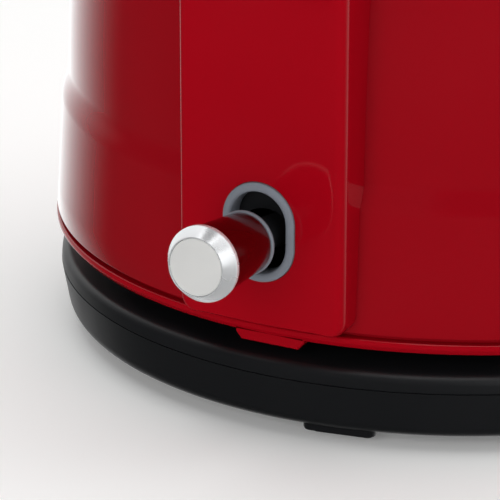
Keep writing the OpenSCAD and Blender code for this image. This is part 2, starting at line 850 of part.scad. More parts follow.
module spout() {
    color(paint_red) difference() {
        spout_form(0);
        spout_form(1.8);
        translate([-rim_r * 2, -rim_r, spout_top]) cube([rim_r * 2, rim_r * 2, 40]);
        body_space(fit_gap);
    }
}

filter_x = -(mouth_r + 3.5);
filter_half = 15;
filter_z0 = wall_z + 2;

module filter_frame() {
    top = spout_top - 2;
    color([0.2, 0.2, 0.2]) difference() {
        along_x(filter_x, filter_x + 2.4) translate([-filter_half, filter_z0]) square([2 * filter_half, top - filter_z0]);
        along_x(filter_x - 1, filter_x + 4) translate([2.4 - filter_half, filter_z0 + 2.4])
            square([2 * filter_half - 4.8, top - filter_z0 - 4.8]);
    }
}

// Woven mesh drawn as a panel of bars
module filter_mesh() {
    top = spout_top - 4.45;
    low = filter_z0 + 2.45;
    side = filter_half - 2.45;
    pitch = 3;
    bar = 0.8;
    color(steel) difference() {
        along_x(filter_x + 1, filter_x + 1.5) translate([-side, low]) square([2 * side, top - low]);
        for (y = [-side + bar:pitch:side - pitch + eps], z = [low + bar:pitch:top - pitch + eps])
            translate([filter_x, y, z]) cube([3, pitch - bar, pitch - bar]);
    }
}

// Handle seen from behind: as wide as the panel at its foot, slim at the grip
module handle_view() {
    foot = panel_w / 2;
    grip = grip_w / 2;
    top = shell_top + 20;
    polygon(concat(
        [for (i = [0:6]) [foot - (foot - grip) * (1 - cos(30 * i)) / 2, handle_z0 + 30 * i / 6]],
        [[grip, top], [-grip, top]],
        [for (i = [6:-1:0]) [(foot - grip) * (1 - cos(30 * i)) / 2 - foot, handle_z0 + 30 * i / 6]]));
}

// Side view of a strip of the handle between two distances from its middle line
module handle_strip(from, to) {
    polygon(concat(moved(handle_line, from), reversed(moved(handle_line, to))));
}

module handle_half(near, far, near_in, far_in) {
    difference() {
        intersection() {
            along_y(panel_w / 2) handle_strip(near, far);
            along_x(0, handle_x + 20) handle_view();
            translate([hinge_x + 8.2, -rim_r, handle_z0]) cube([100, 2 * rim_r, 200]);
        }
        intersection() {
            along_y(grip_w / 2 - panel_wall) handle_strip(near_in, far_in);
            translate([hinge_x + 14, -rim_r, handle_z0 + 4]) cube([100, 2 * rim_r, 200]);
        }
        body_space(fit_gap);
        handle_holes(handle_screw_r + fit_gap);
        handle_sinks();
    }
}

handle_screw_r = 1.5;
handle_head_r = 3;

// Screw axes: square to the grip at two heights
module handle_holes(r) {
    for (z = [handle_mid[1] - 14, handle_mid[1] + 14])
        translate([handle_x - handle_t / 2 - 4, 0, z]) rotate([0, 90, 0]) rod(r, 0, handle_t + 1.2);
}

// Sunk seats for the screw heads in the inner side of the grip
module handle_sinks() {
    for (z = [handle_mid[1] - 14, handle_mid[1] + 14])
        translate([handle_x - handle_t / 2 - 4, 0, z]) rotate([0, 90, 0]) rod(handle_head_r + fit_gap, 0, 4.6);
}

module handle_outer() {
    color(satin_black) {
        handle_half(0.05, handle_t / 2, -1, handle_t / 2 - panel_wall);
        difference() {
            intersection() {
                handle_posts();
                along_y(6) handle_strip(0.6, handle_t / 2 - 1);
            }
            handle_holes(handle_screw_r + fit_gap);
        }
    }
}

module handle_posts() {
    for (z = [handle_mid[1] - 14, handle_mid[1] + 14])
        translate([handle_x - 5, 0, z]) rotate([0, 90, 0]) rod(4, 0, 12);
}

module handle_inner() {
    color(satin_black) handle_half(-handle_t / 2, -0.05, panel_wall - handle_t / 2, 1);
}

module handle_screws() {
    color(steel) for (z = [handle_mid[1] - 14, handle_mid[1] + 14])
        translate([handle_x - handle_t / 2, 0, z]) rotate([0, 90, 0]) {
            rod(handle_screw_r, 0, handle_t - 4.6);
            rod(handle_head_r, -0.6, 0.55);
        }
}

// Block on the shoulder: takes the top of the handle and the lid's hinge
module hinge_block() {
    half = head_w / 2;
    ear_in = knuckle_half + air_gap;
    color(satin_black) difference() {
        union() {
            translate([hinge_x - 5, -half, shell_top - 14]) cube([13, head_w, 14 + neck_ring_t]);
            for (s = [-1, 1]) translate([0, s * (half + ear_in) / 2, 0]) {
                cross_rod(hinge_x, hinge_z, knuckle_r, (half - ear_in) / 2);
                translate([hinge_x - knuckle_r, (ear_in - half) / 2, shell_top - 2])
                    cube([2 * knuckle_r, half - ear_in, hinge_z - shell_top + 2]);
            }
        }
        body_space(fit_gap);
        cross_rod(hinge_x, hinge_z, pin_r + 0.02, half + 1);
    }
}

module hinge_pin() {
    color(steel) cross_rod(hinge_x, hinge_z, pin_r, head_w / 2 + 0.3);
}

// ---- Lid ----

function dome_line(inset) = [
    for (i = [0:12]) let (a = 90 * i / 12)
        [(lid_r - inset) * cos(a), dome_z + (dome_h - inset) * sin(a)]];

module lid_shell() {
    tab_half = knuckle_half;
    color(paint_red) difference() {
        union() {
            rotate_extrude() polygon(concat([[0, lid_z0], [lid_r, lid_z0]], dome_line(0)));
            translate([lid_r - 12, -tab_half, hinge_z - 2]) cube([hinge_x - lid_r + 12, 2 * tab_half, 4]);
            cross_rod(hinge_x, hinge_z, knuckle_r, tab_half);
        }
        rotate_extrude() polygon(concat([[0, lid_z0 - 1], [lid_r - lid_wall, lid_z0 - 1]], dome_line(lid_wall)));
        cross_rod(hinge_x, hinge_z, pin_r + run_fit, tab_half + 1);
        rod(2, 0, lid_top + 2);
    }
}

// Closed plug that hangs in the mouth
module lid_inner() {
    plate_edge_r = lid_r - lid_wall - 0.3;
    color([0.2, 0.2, 0.21]) difference() {
        union() {
            rod(plate_edge_r, lid_z0 + 0.1, lid_z0 + 1.6);
            rod(plug_r, lid_z0 - plug_h, lid_z0 + 1);
        }
        rod(plug_r - 1.6, lid_z0 - plug_h + 1.6, lid_z0 + 2);
        tube(plug_r - 0.6, plug_r + 1, lid_z0 - 5, lid_z0 - 3);
    }
}

module lid_seal() {
    color(silicone) tube(plug_r - 0.55, mouth_r - air_gap - 0.3, lid_z0 - 4.95, lid_z0 - 3.05);
}

module lid_knob() {
    foot_r = 6;
    ball_z = lid_top + 5 + lid_knob_r * 0.8;
    color(satin_black) difference() {
        union() {
            translate([0, 0, ball_z]) sphere(lid_knob_r);
            rod(foot_r - 1, lid_top + 1.6, ball_z);
        }
        rod(1.55, 0, ball_z);
        translate([0, 0, ball_z + lid_knob_r * 0.8]) cylinder(r = lid_knob_r, h = 10);
    }
}

module knob_collar() {
    color(chrome) rotate_extrude() polygon([
        [2.05, lid_top + 0.3], [9, lid_top + 0.05], [9, lid_top + 0.7], [6.6, lid_top + 1.55], [2.05, lid_top + 1.55]]);
}

module knob_screw() {
    color(steel) screw(1.5, 4, 1.6, lid_top - lid_wall - 1.7, lid_top + 10);
}

base_bottom_cover();
base_top_cover();
base_feet();
base_screws();
cord_gland();
cord_clamp();
base_connector();
connector_screws();
live_contact();
neutral_contact();
earth_ring();
socket_cup();
centre_pin();
ring_blade();
earth_band();
body_shell();
rim_ring();
bottom_cover();
cover_screws();
rear_panel();
slot_bezel();
heating_plate();
plate_seal();
clamp_ring();
heat_diffuser();
element_tube();
thermostat_control();
control_screws();
bimetal_discs();
steam_tube();
tube_grommet();
switch_bracket();
bracket_screws();
pivot_pin();
detent_spring();
switch_arm();
lever_knob();
lever_collar();
lever_cap_ring();
lever_cap_disc();
contact_plunger();
neck_ring();
spout();
filter_frame();
filter_mesh();
handle_outer();
handle_inner();
handle_screws();
hinge_block();
hinge_pin();
lid_shell();
lid_inner();
lid_seal();
lid_knob();
knob_collar();
knob_screw();
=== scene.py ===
import json
import math

import bmesh
import bpy
import numpy as np
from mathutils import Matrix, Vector


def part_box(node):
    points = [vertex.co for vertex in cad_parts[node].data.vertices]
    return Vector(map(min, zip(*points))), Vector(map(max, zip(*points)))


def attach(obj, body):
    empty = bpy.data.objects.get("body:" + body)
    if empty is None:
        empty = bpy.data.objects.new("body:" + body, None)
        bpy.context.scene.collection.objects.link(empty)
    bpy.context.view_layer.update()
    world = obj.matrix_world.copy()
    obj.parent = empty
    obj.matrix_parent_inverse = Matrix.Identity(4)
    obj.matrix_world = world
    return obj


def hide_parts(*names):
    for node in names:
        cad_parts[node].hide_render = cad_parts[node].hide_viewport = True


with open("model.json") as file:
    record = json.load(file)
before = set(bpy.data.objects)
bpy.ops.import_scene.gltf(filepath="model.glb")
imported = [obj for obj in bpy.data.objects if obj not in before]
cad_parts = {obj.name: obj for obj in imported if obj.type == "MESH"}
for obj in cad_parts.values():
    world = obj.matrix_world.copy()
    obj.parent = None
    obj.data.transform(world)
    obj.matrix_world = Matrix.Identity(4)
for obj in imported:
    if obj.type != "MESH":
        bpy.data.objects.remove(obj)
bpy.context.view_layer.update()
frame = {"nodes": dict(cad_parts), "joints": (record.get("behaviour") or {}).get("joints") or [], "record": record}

MM = 0.001
# Points on a full turn, for large parts, small parts and cutters
TURN = 256
FINE_TURN = 96
CUTTER_TURN = 48
# The floor lies just below the feet, in metres
FLOOR_Z = -0.0002
# In metres: points nearer than the first are merged, and edges shorter than the second removed
MERGE = 2e-7
SLIVER = 1e-7
UP = np.array([0.0, 0.0, 1.0])


# ---- Sizes in millimetres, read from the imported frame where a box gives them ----


def box(node):
    """Lowest and highest corner of a CAD node, in millimetres."""
    low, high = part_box(node)
    return np.array(low) / MM, np.array(high) / MM


shell_low, shell_high = box("body_shell")
shell_r0 = shell_high[1]
shell_z0 = shell_low[2]
shell_top = shell_high[2]
shell_wall = 1.2
band_h = 22.0
band_draft = 1.3
step_h = 6.0
step_d = 1.5
wall_h = 90.0
wall_draft = 7.8
wall_power = 1.6
band_z = shell_z0 + band_h
band_r = shell_r0 - band_draft
step_z = band_z + step_h
step_r = band_r - step_d
wall_z = step_z + wall_h
wall_r = step_r - wall_draft
shoulder_h = shell_top - wall_z
mouth_r = wall_r - 20.0
shell_top_r = mouth_r + 5.0

ring_low, ring_high = box("rim_ring")
ring_r = ring_high[1]
lug_h = 1.8
lug_half = 7.0
rim_t = 2.1
rim_z = ring_low[2] + lug_h
rim_top = rim_z + rim_t
rim_r = ring_r - 0.8
ring_clear = 0.396
ring_wall = 2.1
neck_out_r = shell_r0 - shell_wall - ring_clear
neck_in_r = neck_out_r - ring_wall

panel_low, panel_high = box("rear_panel")
panel_x = panel_high[0]
panel_half = panel_high[1]
panel_z0 = panel_low[2]
panel_top = panel_high[2]
panel_wall = 2.0
panel_corner_r = 3.0
panel_edge_r = 2.0

bezel_low, bezel_high = box("slot_bezel")
bezel_face = 1.8
slot_z = (bezel_low[2] + bezel_high[2]) / 2
slot_w = 2 * bezel_high[1] - 2 * bezel_face
slot_h = bezel_high[2] - bezel_low[2] - 2 * bezel_face
opening_h = 15.4
opening_side = 1.4
opening_drop = 4.0

hinges = {j["name"]: np.array(j["pos_m"]) / MM for j in frame["joints"] if "pos_m" in j}
pivot = hinges["switch_hinge"]
lever_tilt = math.radians(7.5)
lever_bend = math.radians(4.5)
face_s = (panel_x - pivot[0]) / math.cos(lever_tilt)
collar_s = face_s + 4.8
collar_t = 0.9
stack_gap = 0.05
knob_s = collar_s + collar_t + stack_gap
knob_l = 13.5
knob_end_s = knob_s + knob_l
knob_root_r = 5.65
knob_end_r = 6.5
cap_r = knob_end_r + 0.4
cap_t = 3.4
disc_r = cap_r - 1.75
neck_r = 3.0

top_low, top_high = box("base_top_cover")
base_x = (top_low[0] + top_high[0]) / 2
base_r = (top_high[0] - top_low[0]) / 2
parting_z = top_low[2]
plateau_z = top_high[2]
plateau_r = neck_in_r - 7.9
base_wall = 2.0
base_rim_z = parting_z + 3.2
base_z0 = 2.4
base_floor_r = base_r - 6.6
parting_gap = 0.05
boss_r = 15.2
foot_count = 6
foot_start = math.radians(10)
foot_r0 = base_floor_r - 11
foot_r1 = base_r - 3.3
foot_half = math.radians(5.5)
pad_half = math.radians(4.6)
pocket_half = pad_half + 0.0017
foot_z = 1.2
pad_top = foot_z + 1.0
screw_r = base_floor_r - 24.7
sink_r = 3.2
gland_angle = math.radians(100)
gland_out = np.array([math.cos(gland_angle), math.sin(gland_angle), 0])
gland_side = np.array([-math.sin(gland_angle), math.cos(gland_angle), 0])
cord_r = 3.3
gland_r = cord_r + 1.4
gland_z = parting_z - 0.3 - gland_r
gland_l = 9.0
clamp_half = 7.5
clamp_away = base_r - gland_l - 12

handle_t = 16.0
grip_w = 26.0
handle_x = panel_x + 36.0
handle_z0 = panel_top + 0.1
handle_mid_z = (handle_z0 + shell_top) / 2 + 3
seat_r = 3.1
seat_apart = 14
hinge_x = shell_top_r + 11.0
hinge_z = hinges["lid_hinge"][2]
pin_r = 1.5
knuckle_r = pin_r + 2.2
knuckle_half = 8.5
head_half = 15.0
head_x = hinge_x + 8
neck_ring_t = 1.2

lid_low, lid_high = box("lid_shell")
lid_z0 = lid_low[2]
lid_top = lid_high[2]
lid_r = shell_top_r + 2.2
lid_skirt = 3.4
lid_wall = 1.5
knob_low, knob_high = box("lid_knob")
lid_knob_r = (knob_high[1] - knob_low[1]) / 2
lid_knob_flat = 0.8 * lid_knob_r
lid_ball_z = lid_top + 5 + lid_knob_flat

spout_low, spout_high = box("spout")
spout_tip_x = -spout_low[0]
spout_z0 = spout_low[2]
spout_top = spout_high[2]
spout_half = 23.0
spout_wall = 1.8


# ---- Shapes ----


def unit(v):
    """Each row of v over its own length."""
    return v / np.linalg.norm(v, axis=-1, keepdims=True)


def oblong(x0, x1, y0, y1):
    """The four corners of a rectangle, anticlockwise."""
    return [[x0, y0], [x1, y0], [x1, y1], [x0, y1]]


def rounded(corners, radii, closed=False, steps=8):
    """An outline whose corners are arcs. A corner's arc has its centre on the bisector of the two
    edges, at its radius over the sine of half the corner's angle, and its points turn evenly from
    one edge to the other."""
    p = np.array(corners, float)
    if closed:
        before, here, after = np.roll(p, 1, 0), p, np.roll(p, -1, 0)
    else:
        before, here, after = p[:-2], p[1:-1], p[2:]
    r = np.broadcast_to(np.array(radii, float), (len(here),))[:, None]
    a, b = unit(before - here), unit(after - here)
    half = np.arccos(np.clip((a * b).sum(1), -1, 1))[:, None] / 2
    centre = here + unit(a + b) * r / np.sin(half)
    u, v = here + a * r / np.tan(half) - centre, here + b * r / np.tan(half) - centre
    sweep = (np.pi - 2 * half)[:, None]
    t = np.linspace(0, 1, steps)[None, :, None]
    swung = u[:, None] * np.sin((1 - t) * sweep) + v[:, None] * np.sin(t * sweep)
    arcs = (centre[:, None] + swung / np.sin(sweep)).reshape(-1, p.shape[1])
    return arcs if closed else np.concatenate([p[:1], arcs, p[-1:]])


def bezier(a, b, c, d, count):
    """Points of a cubic Bezier arc at evenly spaced parameters."""
    t = np.linspace(0, 1, count)[:, None]
    a, b, c, d = (np.array(p, float) for p in (a, b, c, d))
    return (1 - t) ** 3 * a + 3 * t * (1 - t) ** 2 * b + 3 * t * t * (1 - t) * c + t ** 3 * d


def side_normals(line, closed=False):
    """Unit normals on the right-hand side of a plane line, square to the line between each
    point's neighbours."""
    d = np.roll(line, -1, 0) - np.roll(line, 1, 0) if closed else np.gradient(line, axis=0)
    return unit(np.stack([d[:, 1], -d[:, 0]], 1))


def obround(w, h, count=24):
    """An upright obround, anticlockwise: two half circles of half its width, apart by its height
    less its width."""
    a = np.linspace(-np.pi / 2, np.pi / 2, count)
    turn = np.concatenate([a + np.pi / 2, a + 3 * np.pi / 2])
    lift = np.repeat([(h - w) / 2, (w - h) / 2], count)
    return np.stack([w / 2 * np.cos(turn), w / 2 * np.sin(turn) + lift], 1)


def make_object(name, points, faces, sharp=30):
    """A mesh object from points in millimetres and faces: doubles merged, normals outwards, smooth
    but for edges that turn by more than sharp degrees."""
    mesh = bpy.data.meshes.new(name)
    mesh.from_pydata((np.asarray(points, float) * MM).tolist(), [], faces)
    tidy(mesh, sharp)
    obj = bpy.data.objects.new(name, mesh)
    bpy.context.scene.collection.objects.link(obj)
    return obj


def tidy(mesh, sharp):
    """Merges doubles, points the normals outwards and marks the sharp edges."""
    bm = bmesh.new()
    bm.from_mesh(mesh)
    bmesh.ops.remove_doubles(bm, verts=bm.verts, dist=MERGE)
    bmesh.ops.dissolve_degenerate(bm, dist=SLIVER, edges=bm.edges)
    bmesh.ops.recalc_face_normals(bm, faces=bm.faces)
    bm.to_mesh(mesh)
    bm.free()
    mesh.shade_smooth()
    mesh.set_sharp_from_angle(angle=math.radians(sharp))
    mesh.update()


def loft(name, layers, ring=False, sharp=30):
    """A skin over layers of closed loops, an array of layer by point by xyz. The first and last
    layer are closed by a flat face each, or joined to each other where ring is true."""
    layers = np.asarray(layers, float)
    n, m = layers.shape[:2]
    rows = np.arange(n if ring else n - 1)[:, None]
    cols = np.arange(m)[None, :]
    a = rows * m + cols
    b = rows * m + (cols + 1) % m
    c = (rows + 1) % n * m + (cols + 1) % m
    d = (rows + 1) % n * m + cols
    faces = np.stack([a, b, c, d], -1).reshape(-1, 4).tolist()
    if not ring:
        faces += [list(range(m))[::-1], list(range((n - 1) * m, n * m))]
    return make_object(name, layers.reshape(-1, 3), faces, sharp)


def turned(name, profile, centre=(0, 0), ring=True, count=TURN, sharp=30):
    """A turned part: the profile of radius and height goes once round the vertical line through
    centre. It is closed where ring is true, else its ends become flat faces."""
    p = np.asarray(profile, float)
    a = np.linspace(0, 2 * np.pi, count, endpoint=False)
    r, z = p[:, 0, None], p[:, 1, None]
    layers = np.stack([centre[0] + r * np.cos(a), centre[1] + r * np.sin(a), z + 0 * a], -1)
    return loft(name, layers, ring, sharp)


def turned_along(name, profile, start, axes, ring=True, count=FINE_TURN, sharp=30):
    """A turned part on any line: the profile of radius and distance from start goes once round the
    first of three axes, from the second towards the third."""
    p = np.asarray(profile, float)
    along, side, up = axes
    a = np.linspace(0, 2 * np.pi, count, endpoint=False)
    r, s = p[:, 0, None], p[:, 1, None]
    layers = (
        start
        + (s + 0 * a)[..., None] * along
        + (r * np.cos(a))[..., None] * side
        + (r * np.sin(a))[..., None] * up
    )
    return loft(name, layers, ring, sharp)


def stacked(name, loop, layers, place):
    """A plate or block: each layer is the loop moved inwards by the layer's inset, at the layer's
    height. Place turns the loop's two coordinates and the height into xyz."""
    normal = side_normals(loop, closed=True)
    return loft(name, [
        place(loop - inset * normal, np.full(len(loop), height)) for inset, height in layers
    ])


def upright(p, h):
    """A plan outline with its height."""
    return np.stack([p[:, 0], p[:, 1], h], 1)


def facing_rear(p, h):
    """An outline seen from behind, as y and z, with its distance along X."""
    return np.stack([h, p[:, 0], p[:, 1]], 1)


def on_knob(name, profile, ring=True, sharp=50):
    """A turned part on the knob's axis, which leaves the lever's axis at the panel's face: radius
    and distance from the pivot, measured along the lever."""
    bend_point = pivot + face_s * np.array([math.cos(lever_tilt), 0, math.sin(lever_tilt)])
    rise = lever_tilt - lever_bend
    along = np.array([math.cos(rise), 0, math.sin(rise)])
    up = np.array([-math.sin(rise), 0, math.cos(rise)])
    side = np.array([0.0, 1.0, 0.0])
    from_bend = np.asarray(profile, float) - [0, face_s]
    return turned_along(name, from_bend, bend_point, (along, side, up), ring, sharp=sharp)


def cut(obj, others, operation="DIFFERENCE", sharp=30):
    """Applies exact booleans to obj, one for each other solid, and removes the others."""
    for other in others:
        m = obj.modifiers.new("cut", "BOOLEAN")
        m.operation = operation
        m.solver = "EXACT"
        m.object = other
        dg = bpy.context.evaluated_depsgraph_get()
        made = bpy.data.meshes.new_from_object(obj.evaluated_get(dg))
        obj.modifiers.clear()
        old = obj.data
        obj.data = made
        bpy.data.meshes.remove(old)
        bpy.data.objects.remove(other)
    obj.data.name = obj.name
    obj.data.shade_smooth()
    obj.data.set_sharp_from_angle(angle=math.radians(sharp))
    return obj


def slab(x0, x1, half, z0, z1):
    """A plain block for cutting, as wide to each side of the middle as half."""
    plan = np.array(oblong(x0, x1, -half, half))
    return stacked("cutter", plan, [(0.0, z0), (0.0, z1)], upright)


def rod(r, z0, z1, centre=(0, 0), count=CUTTER_TURN):
    """A plain upright rod for cutting."""
    return turned("cutter", [[r, z0], [r, z1]], centre, ring=False, count=count)


def cross_rod(x, z, r, half):
    """A plain rod along Y for cutting and joining."""
    a = np.linspace(0, 2 * np.pi, CUTTER_TURN, endpoint=False)
    return loft("cutter", [
        np.stack([x + r * np.cos(a), y + 0 * a, z + r * np.sin(a)], 1) for y in (-half, half)
    ])


# ---- Finishes ----


def linear(hex_colour):
    """An sRGB hex colour as linear RGBA."""
    c = np.array([int(hex_colour[i:i + 2], 16) for i in (1, 3, 5)]) / 255
    c = np.where(c <= 0.04045, c / 12.92, ((c + 0.055) / 1.055) ** 2.4)
    return (*c.tolist(), 1.0)


def add(tree, kind, settings=None, inputs=None, links=None):
    """Adds a node, sets its properties and the values of its inputs, and joins inputs to other
    nodes' outputs."""
    n = tree.nodes.new(kind)
    for key, value in (settings or {}).items():
        setattr(n, key, value)
    for key, value in (inputs or {}).items():
        n.inputs[key].default_value = value
    for key, (other, output) in (links or {}).items():
        tree.links.new(other.outputs[output], n.inputs[key])
    return n


def finish(name, colour, shader, spread, patch, grain, depth, rough, stretch=(1, 1, 1)):
    """A material: broad patches of the given size in mm shift its colour between the two shares of
    spread and its roughness by rough either way. A grain of the given size in mm, stretched by the
    three factors, gives a bump of the given depth in mm."""
    m = bpy.data.materials.new(name)
    m.use_nodes = True
    tree = m.node_tree
    tree.nodes.clear()
    place = add(tree, "ShaderNodeTexCoord")
    drawn = add(tree, "ShaderNodeMapping", None, {"Scale": stretch}, {"Vector": (place, "Object")})
    patches = add(tree, "ShaderNodeTexNoise", None,
                  {"Scale": 1 / (patch * MM), "Detail": 2.0, "Roughness": 0.5},
                  {"Vector": (place, "Object")})
    grains = add(tree, "ShaderNodeTexNoise", None,
                 {"Scale": 1 / (grain * MM), "Detail": 3.0, "Roughness": 0.6},
                 {"Vector": (drawn, "Vector")})
    base = linear(colour)
    dark = tuple(min(1.0, v * spread[0]) for v in base[:3]) + (1.0,)
    light = tuple(min(1.0, v * spread[1]) for v in base[:3]) + (1.0,)
    tone = add(tree, "ShaderNodeMix", {"data_type": "RGBA"})
    tone.inputs[6].default_value = dark
    tone.inputs[7].default_value = light
    tree.links.new(patches.outputs["Fac"], tone.inputs["Factor"])
    mean = shader["Roughness"]
    dull = add(tree, "ShaderNodeMapRange", None,
               {"From Min": 0.3, "From Max": 0.7,
                "To Min": max(0.0, mean - rough), "To Max": mean + rough},
               {"Value": (patches, "Fac")})
    bump = add(tree, "ShaderNodeBump", None, {"Strength": 1.0, "Distance": depth * MM},
               {"Height": (grains, "Fac")})
    values = {k: v for k, v in shader.items() if k != "Roughness"}
    body = add(tree, "ShaderNodeBsdfPrincipled", None, values,
               {"Roughness": (dull, "Result"), "Normal": (bump, "Normal")})
    tree.links.new(tone.outputs[2], body.inputs["Base Color"])
    add(tree, "ShaderNodeOutputMaterial", None, None, {"Surface": (body, "BSDF")})
    return m


# Baked enamel on steel: clear gloss over a deep red, with the faint waviness of a sprayed coat
red_enamel = finish("gloss_red_enamel", "#8e0311",
                    {"Roughness": 0.12, "Coat Weight": 1.0, "Coat Roughness": 0.03, "IOR": 1.3},
                    spread=(0.96, 1.04), patch=30, grain=6, depth=0.003, rough=0.02)
# Moulded gloss ABS in the same red: a mirror from the polished mould
red_plastic = finish("gloss_red_abs", "#970413",
                     {"Roughness": 0.07, "IOR": 1.4},
                     spread=(0.96, 1.04), patch=30, grain=8, depth=0.004, rough=0.02)
# Gloss ABS of the knob in a darker red than the panel's, whose surface is clear
knob_red = finish("darker_red_abs", "#4e0103",
                  {"Roughness": 0.14, "IOR": 1.35},
                  spread=(0.95, 1.05), patch=12, grain=4, depth=0.002, rough=0.02)
# Spark-eroded ABS: black with a fine even grain that spreads the light
black_plastic = finish("satin_black_abs", "#17181a",
                       {"Roughness": 0.42, "IOR": 1.45},
                       spread=(0.9, 1.12), patch=18, grain=0.5, depth=0.02, rough=0.04)
# Softer black grip with a coarser grain
grip_plastic = finish("grained_black_nylon", "#1a1b1d",
                      {"Roughness": 0.48, "IOR": 1.5},
                      spread=(0.9, 1.12), patch=15, grain=0.8, depth=0.03, rough=0.05)
# Satin grey ABS of the bezel and collar
grey_plastic = finish("satin_grey_abs", "#7b8089",
                      {"Roughness": 0.33, "IOR": 1.45},
                      spread=(0.95, 1.05), patch=8, grain=0.4, depth=0.008, rough=0.04)
# Plated chrome: a mirror with the slightest haze
chrome = finish("plated_chrome", "#e6e8ec",
                {"Roughness": 0.1, "Metallic": 1.0},
                spread=(0.97, 1.03), patch=10, grain=3, depth=0.001, rough=0.03)
# Fine-blasted chrome of the lever's cap: bright, with soft reflections
satin_chrome = finish("satin_chrome", "#f4f6f8",
                      {"Roughness": 0.27, "Metallic": 0.6},
                      spread=(0.97, 1.03), patch=6, grain=0.3, depth=0.003, rough=0.04)
# Bead-blasted and anodised aluminium disc: pale, even and soft
satin_disc = finish("satin_anodised_aluminium", "#eeeeec",
                    {"Roughness": 0.45, "Metallic": 0.35},
                    spread=(0.97, 1.03), patch=6, grain=0.25, depth=0.006, rough=0.05)
# Brushed stainless sheet: short streaks along one direction
stainless = finish("brushed_stainless_steel", "#c6c6c4",
                   {"Roughness": 0.3, "Metallic": 1.0},
                   spread=(0.88, 1.05), patch=20, grain=0.4, depth=0.006, rough=0.08,
                   stretch=(0.06, 1, 1))
# Zinc-plated screws: bright with cloudy patches
screw_steel = finish("zinc_plated_steel", "#b9bcc0",
                     {"Roughness": 0.34, "Metallic": 1.0},
                     spread=(0.8, 1.1), patch=2.5, grain=0.5, depth=0.008, rough=0.1)
# Rolled aluminium plate of the heat spreader
aluminium = finish("mill_finish_aluminium", "#cdcdca",
                   {"Roughness": 0.38, "Metallic": 1.0},
                   spread=(0.85, 1.05), patch=14, grain=0.5, depth=0.01, rough=0.08,
                   stretch=(1, 0.1, 1))
# Drawn brass contacts, a little tarnished
brass = finish("drawn_brass", "#c8a24a",
               {"Roughness": 0.3, "Metallic": 1.0},
               spread=(0.75, 1.08), patch=5, grain=0.4, depth=0.006, rough=0.1)
# Moulded rubber of the feet and the gland
rubber = finish("moulded_rubber", "#151516",
                {"Roughness": 0.72, "IOR": 1.5},
                spread=(0.85, 1.2), patch=6, grain=0.4, depth=0.03, rough=0.06)
# Translucent silicone of the seals
silicone = finish("moulded_silicone", "#cfcdc6",
                  {"Roughness": 0.45, "IOR": 1.41,
                   "Subsurface Weight": 0.2, "Subsurface Scale": 0.002},
                  spread=(0.94, 1.04), patch=8, grain=0.6, depth=0.01, rough=0.05)
# Glass-filled nylon of the control and the inner frames
dark_plastic = finish("glass_filled_nylon", "#2a2b2e",
                      {"Roughness": 0.5, "IOR": 1.5},
                      spread=(0.82, 1.18), patch=4, grain=0.35, depth=0.02, rough=0.06)
# Natural acetal of the plunger
acetal = finish("natural_acetal", "#dcd9cc",
                {"Roughness": 0.35, "IOR": 1.48},
                spread=(0.96, 1.03), patch=5, grain=0.5, depth=0.005, rough=0.04)

finishes = {
    "red_paint": red_enamel, "red_plastic": red_plastic, "black_plastic": black_plastic,
    "grip_plastic": grip_plastic, "grey_plastic": grey_plastic, "chrome": chrome,
    "satin_disc": satin_disc, "stainless": stainless, "screw_steel": screw_steel,
    "aluminium": aluminium, "brass": brass, "rubber": rubber, "silicone": silicone,
    "dark_plastic": dark_plastic, "acetal": acetal,
}

slots = {s["node"]: s["material_slot"] for s in frame["record"]["subparts"]}
for node_name, cad_object in frame["nodes"].items():
    cad_object.data.materials.clear()
    cad_object.data.materials.append(finishes[slots[node_name]])


def put(obj, body, node, material=None):
    """Gives a finished piece its material, by default the one its CAD node's slot names, and its body, and hides
    the CAD node it stands for.
    """
    obj.data.materials.clear()
    obj.data.materials.append(material or finishes[slots[node]])
    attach(obj, body)
    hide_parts(node)
    return obj


# ---- Power base ----


def foot_loop(r0, r1, half, corner, k):
    """Plan of a foot: a rounded rectangle of radius by arc length, bent round the base's centre."""
    mid = (r0 + r1) / 2
    reach = half * mid
    flat = rounded(oblong(r0, r1, -reach, reach), corner, closed=True)
    a = flat[:, 1] / mid + foot_start + 2 * np.pi * k / foot_count
    return np.stack([base_x + flat[:, 0] * np.cos(a), flat[:, 0] * np.sin(a)], 1)


def join(objects, name):
    """One object from several that don't touch."""
    bm = bmesh.new()
    for o in objects:
        bm.from_mesh(o.data)
        bpy.data.objects.remove(o)
    mesh = bpy.data.meshes.new(name)
    bm.to_mesh(mesh)
    bm.free()
    mesh.shade_smooth()
    mesh.set_sharp_from_angle(angle=math.radians(30))
    obj = bpy.data.objects.new(name, mesh)
    bpy.context.scene.collection.objects.link(obj)
    return obj


def gland_way(name, r0, r1, s0, s1):
    """A tube, or a rod where r0 is nothing, along the gland's own line, which runs outwards and
    level from the base's centre and is measured from the base's edge."""
    start = np.array([base_x, 0, gland_z]) + base_r * gland_out
    if r0 == 0:
        profile = [[r1, s0], [r1, s1]]
    else:
        profile = rounded(oblong(r0, r1, s0, s1), [0.2, 0.2, 0.8, 0.8], closed=True)
    axes = (gland_out, gland_side, UP)
    return turned_along(name, profile, start, axes, ring=r0 > 0, count=CUTTER_TURN)


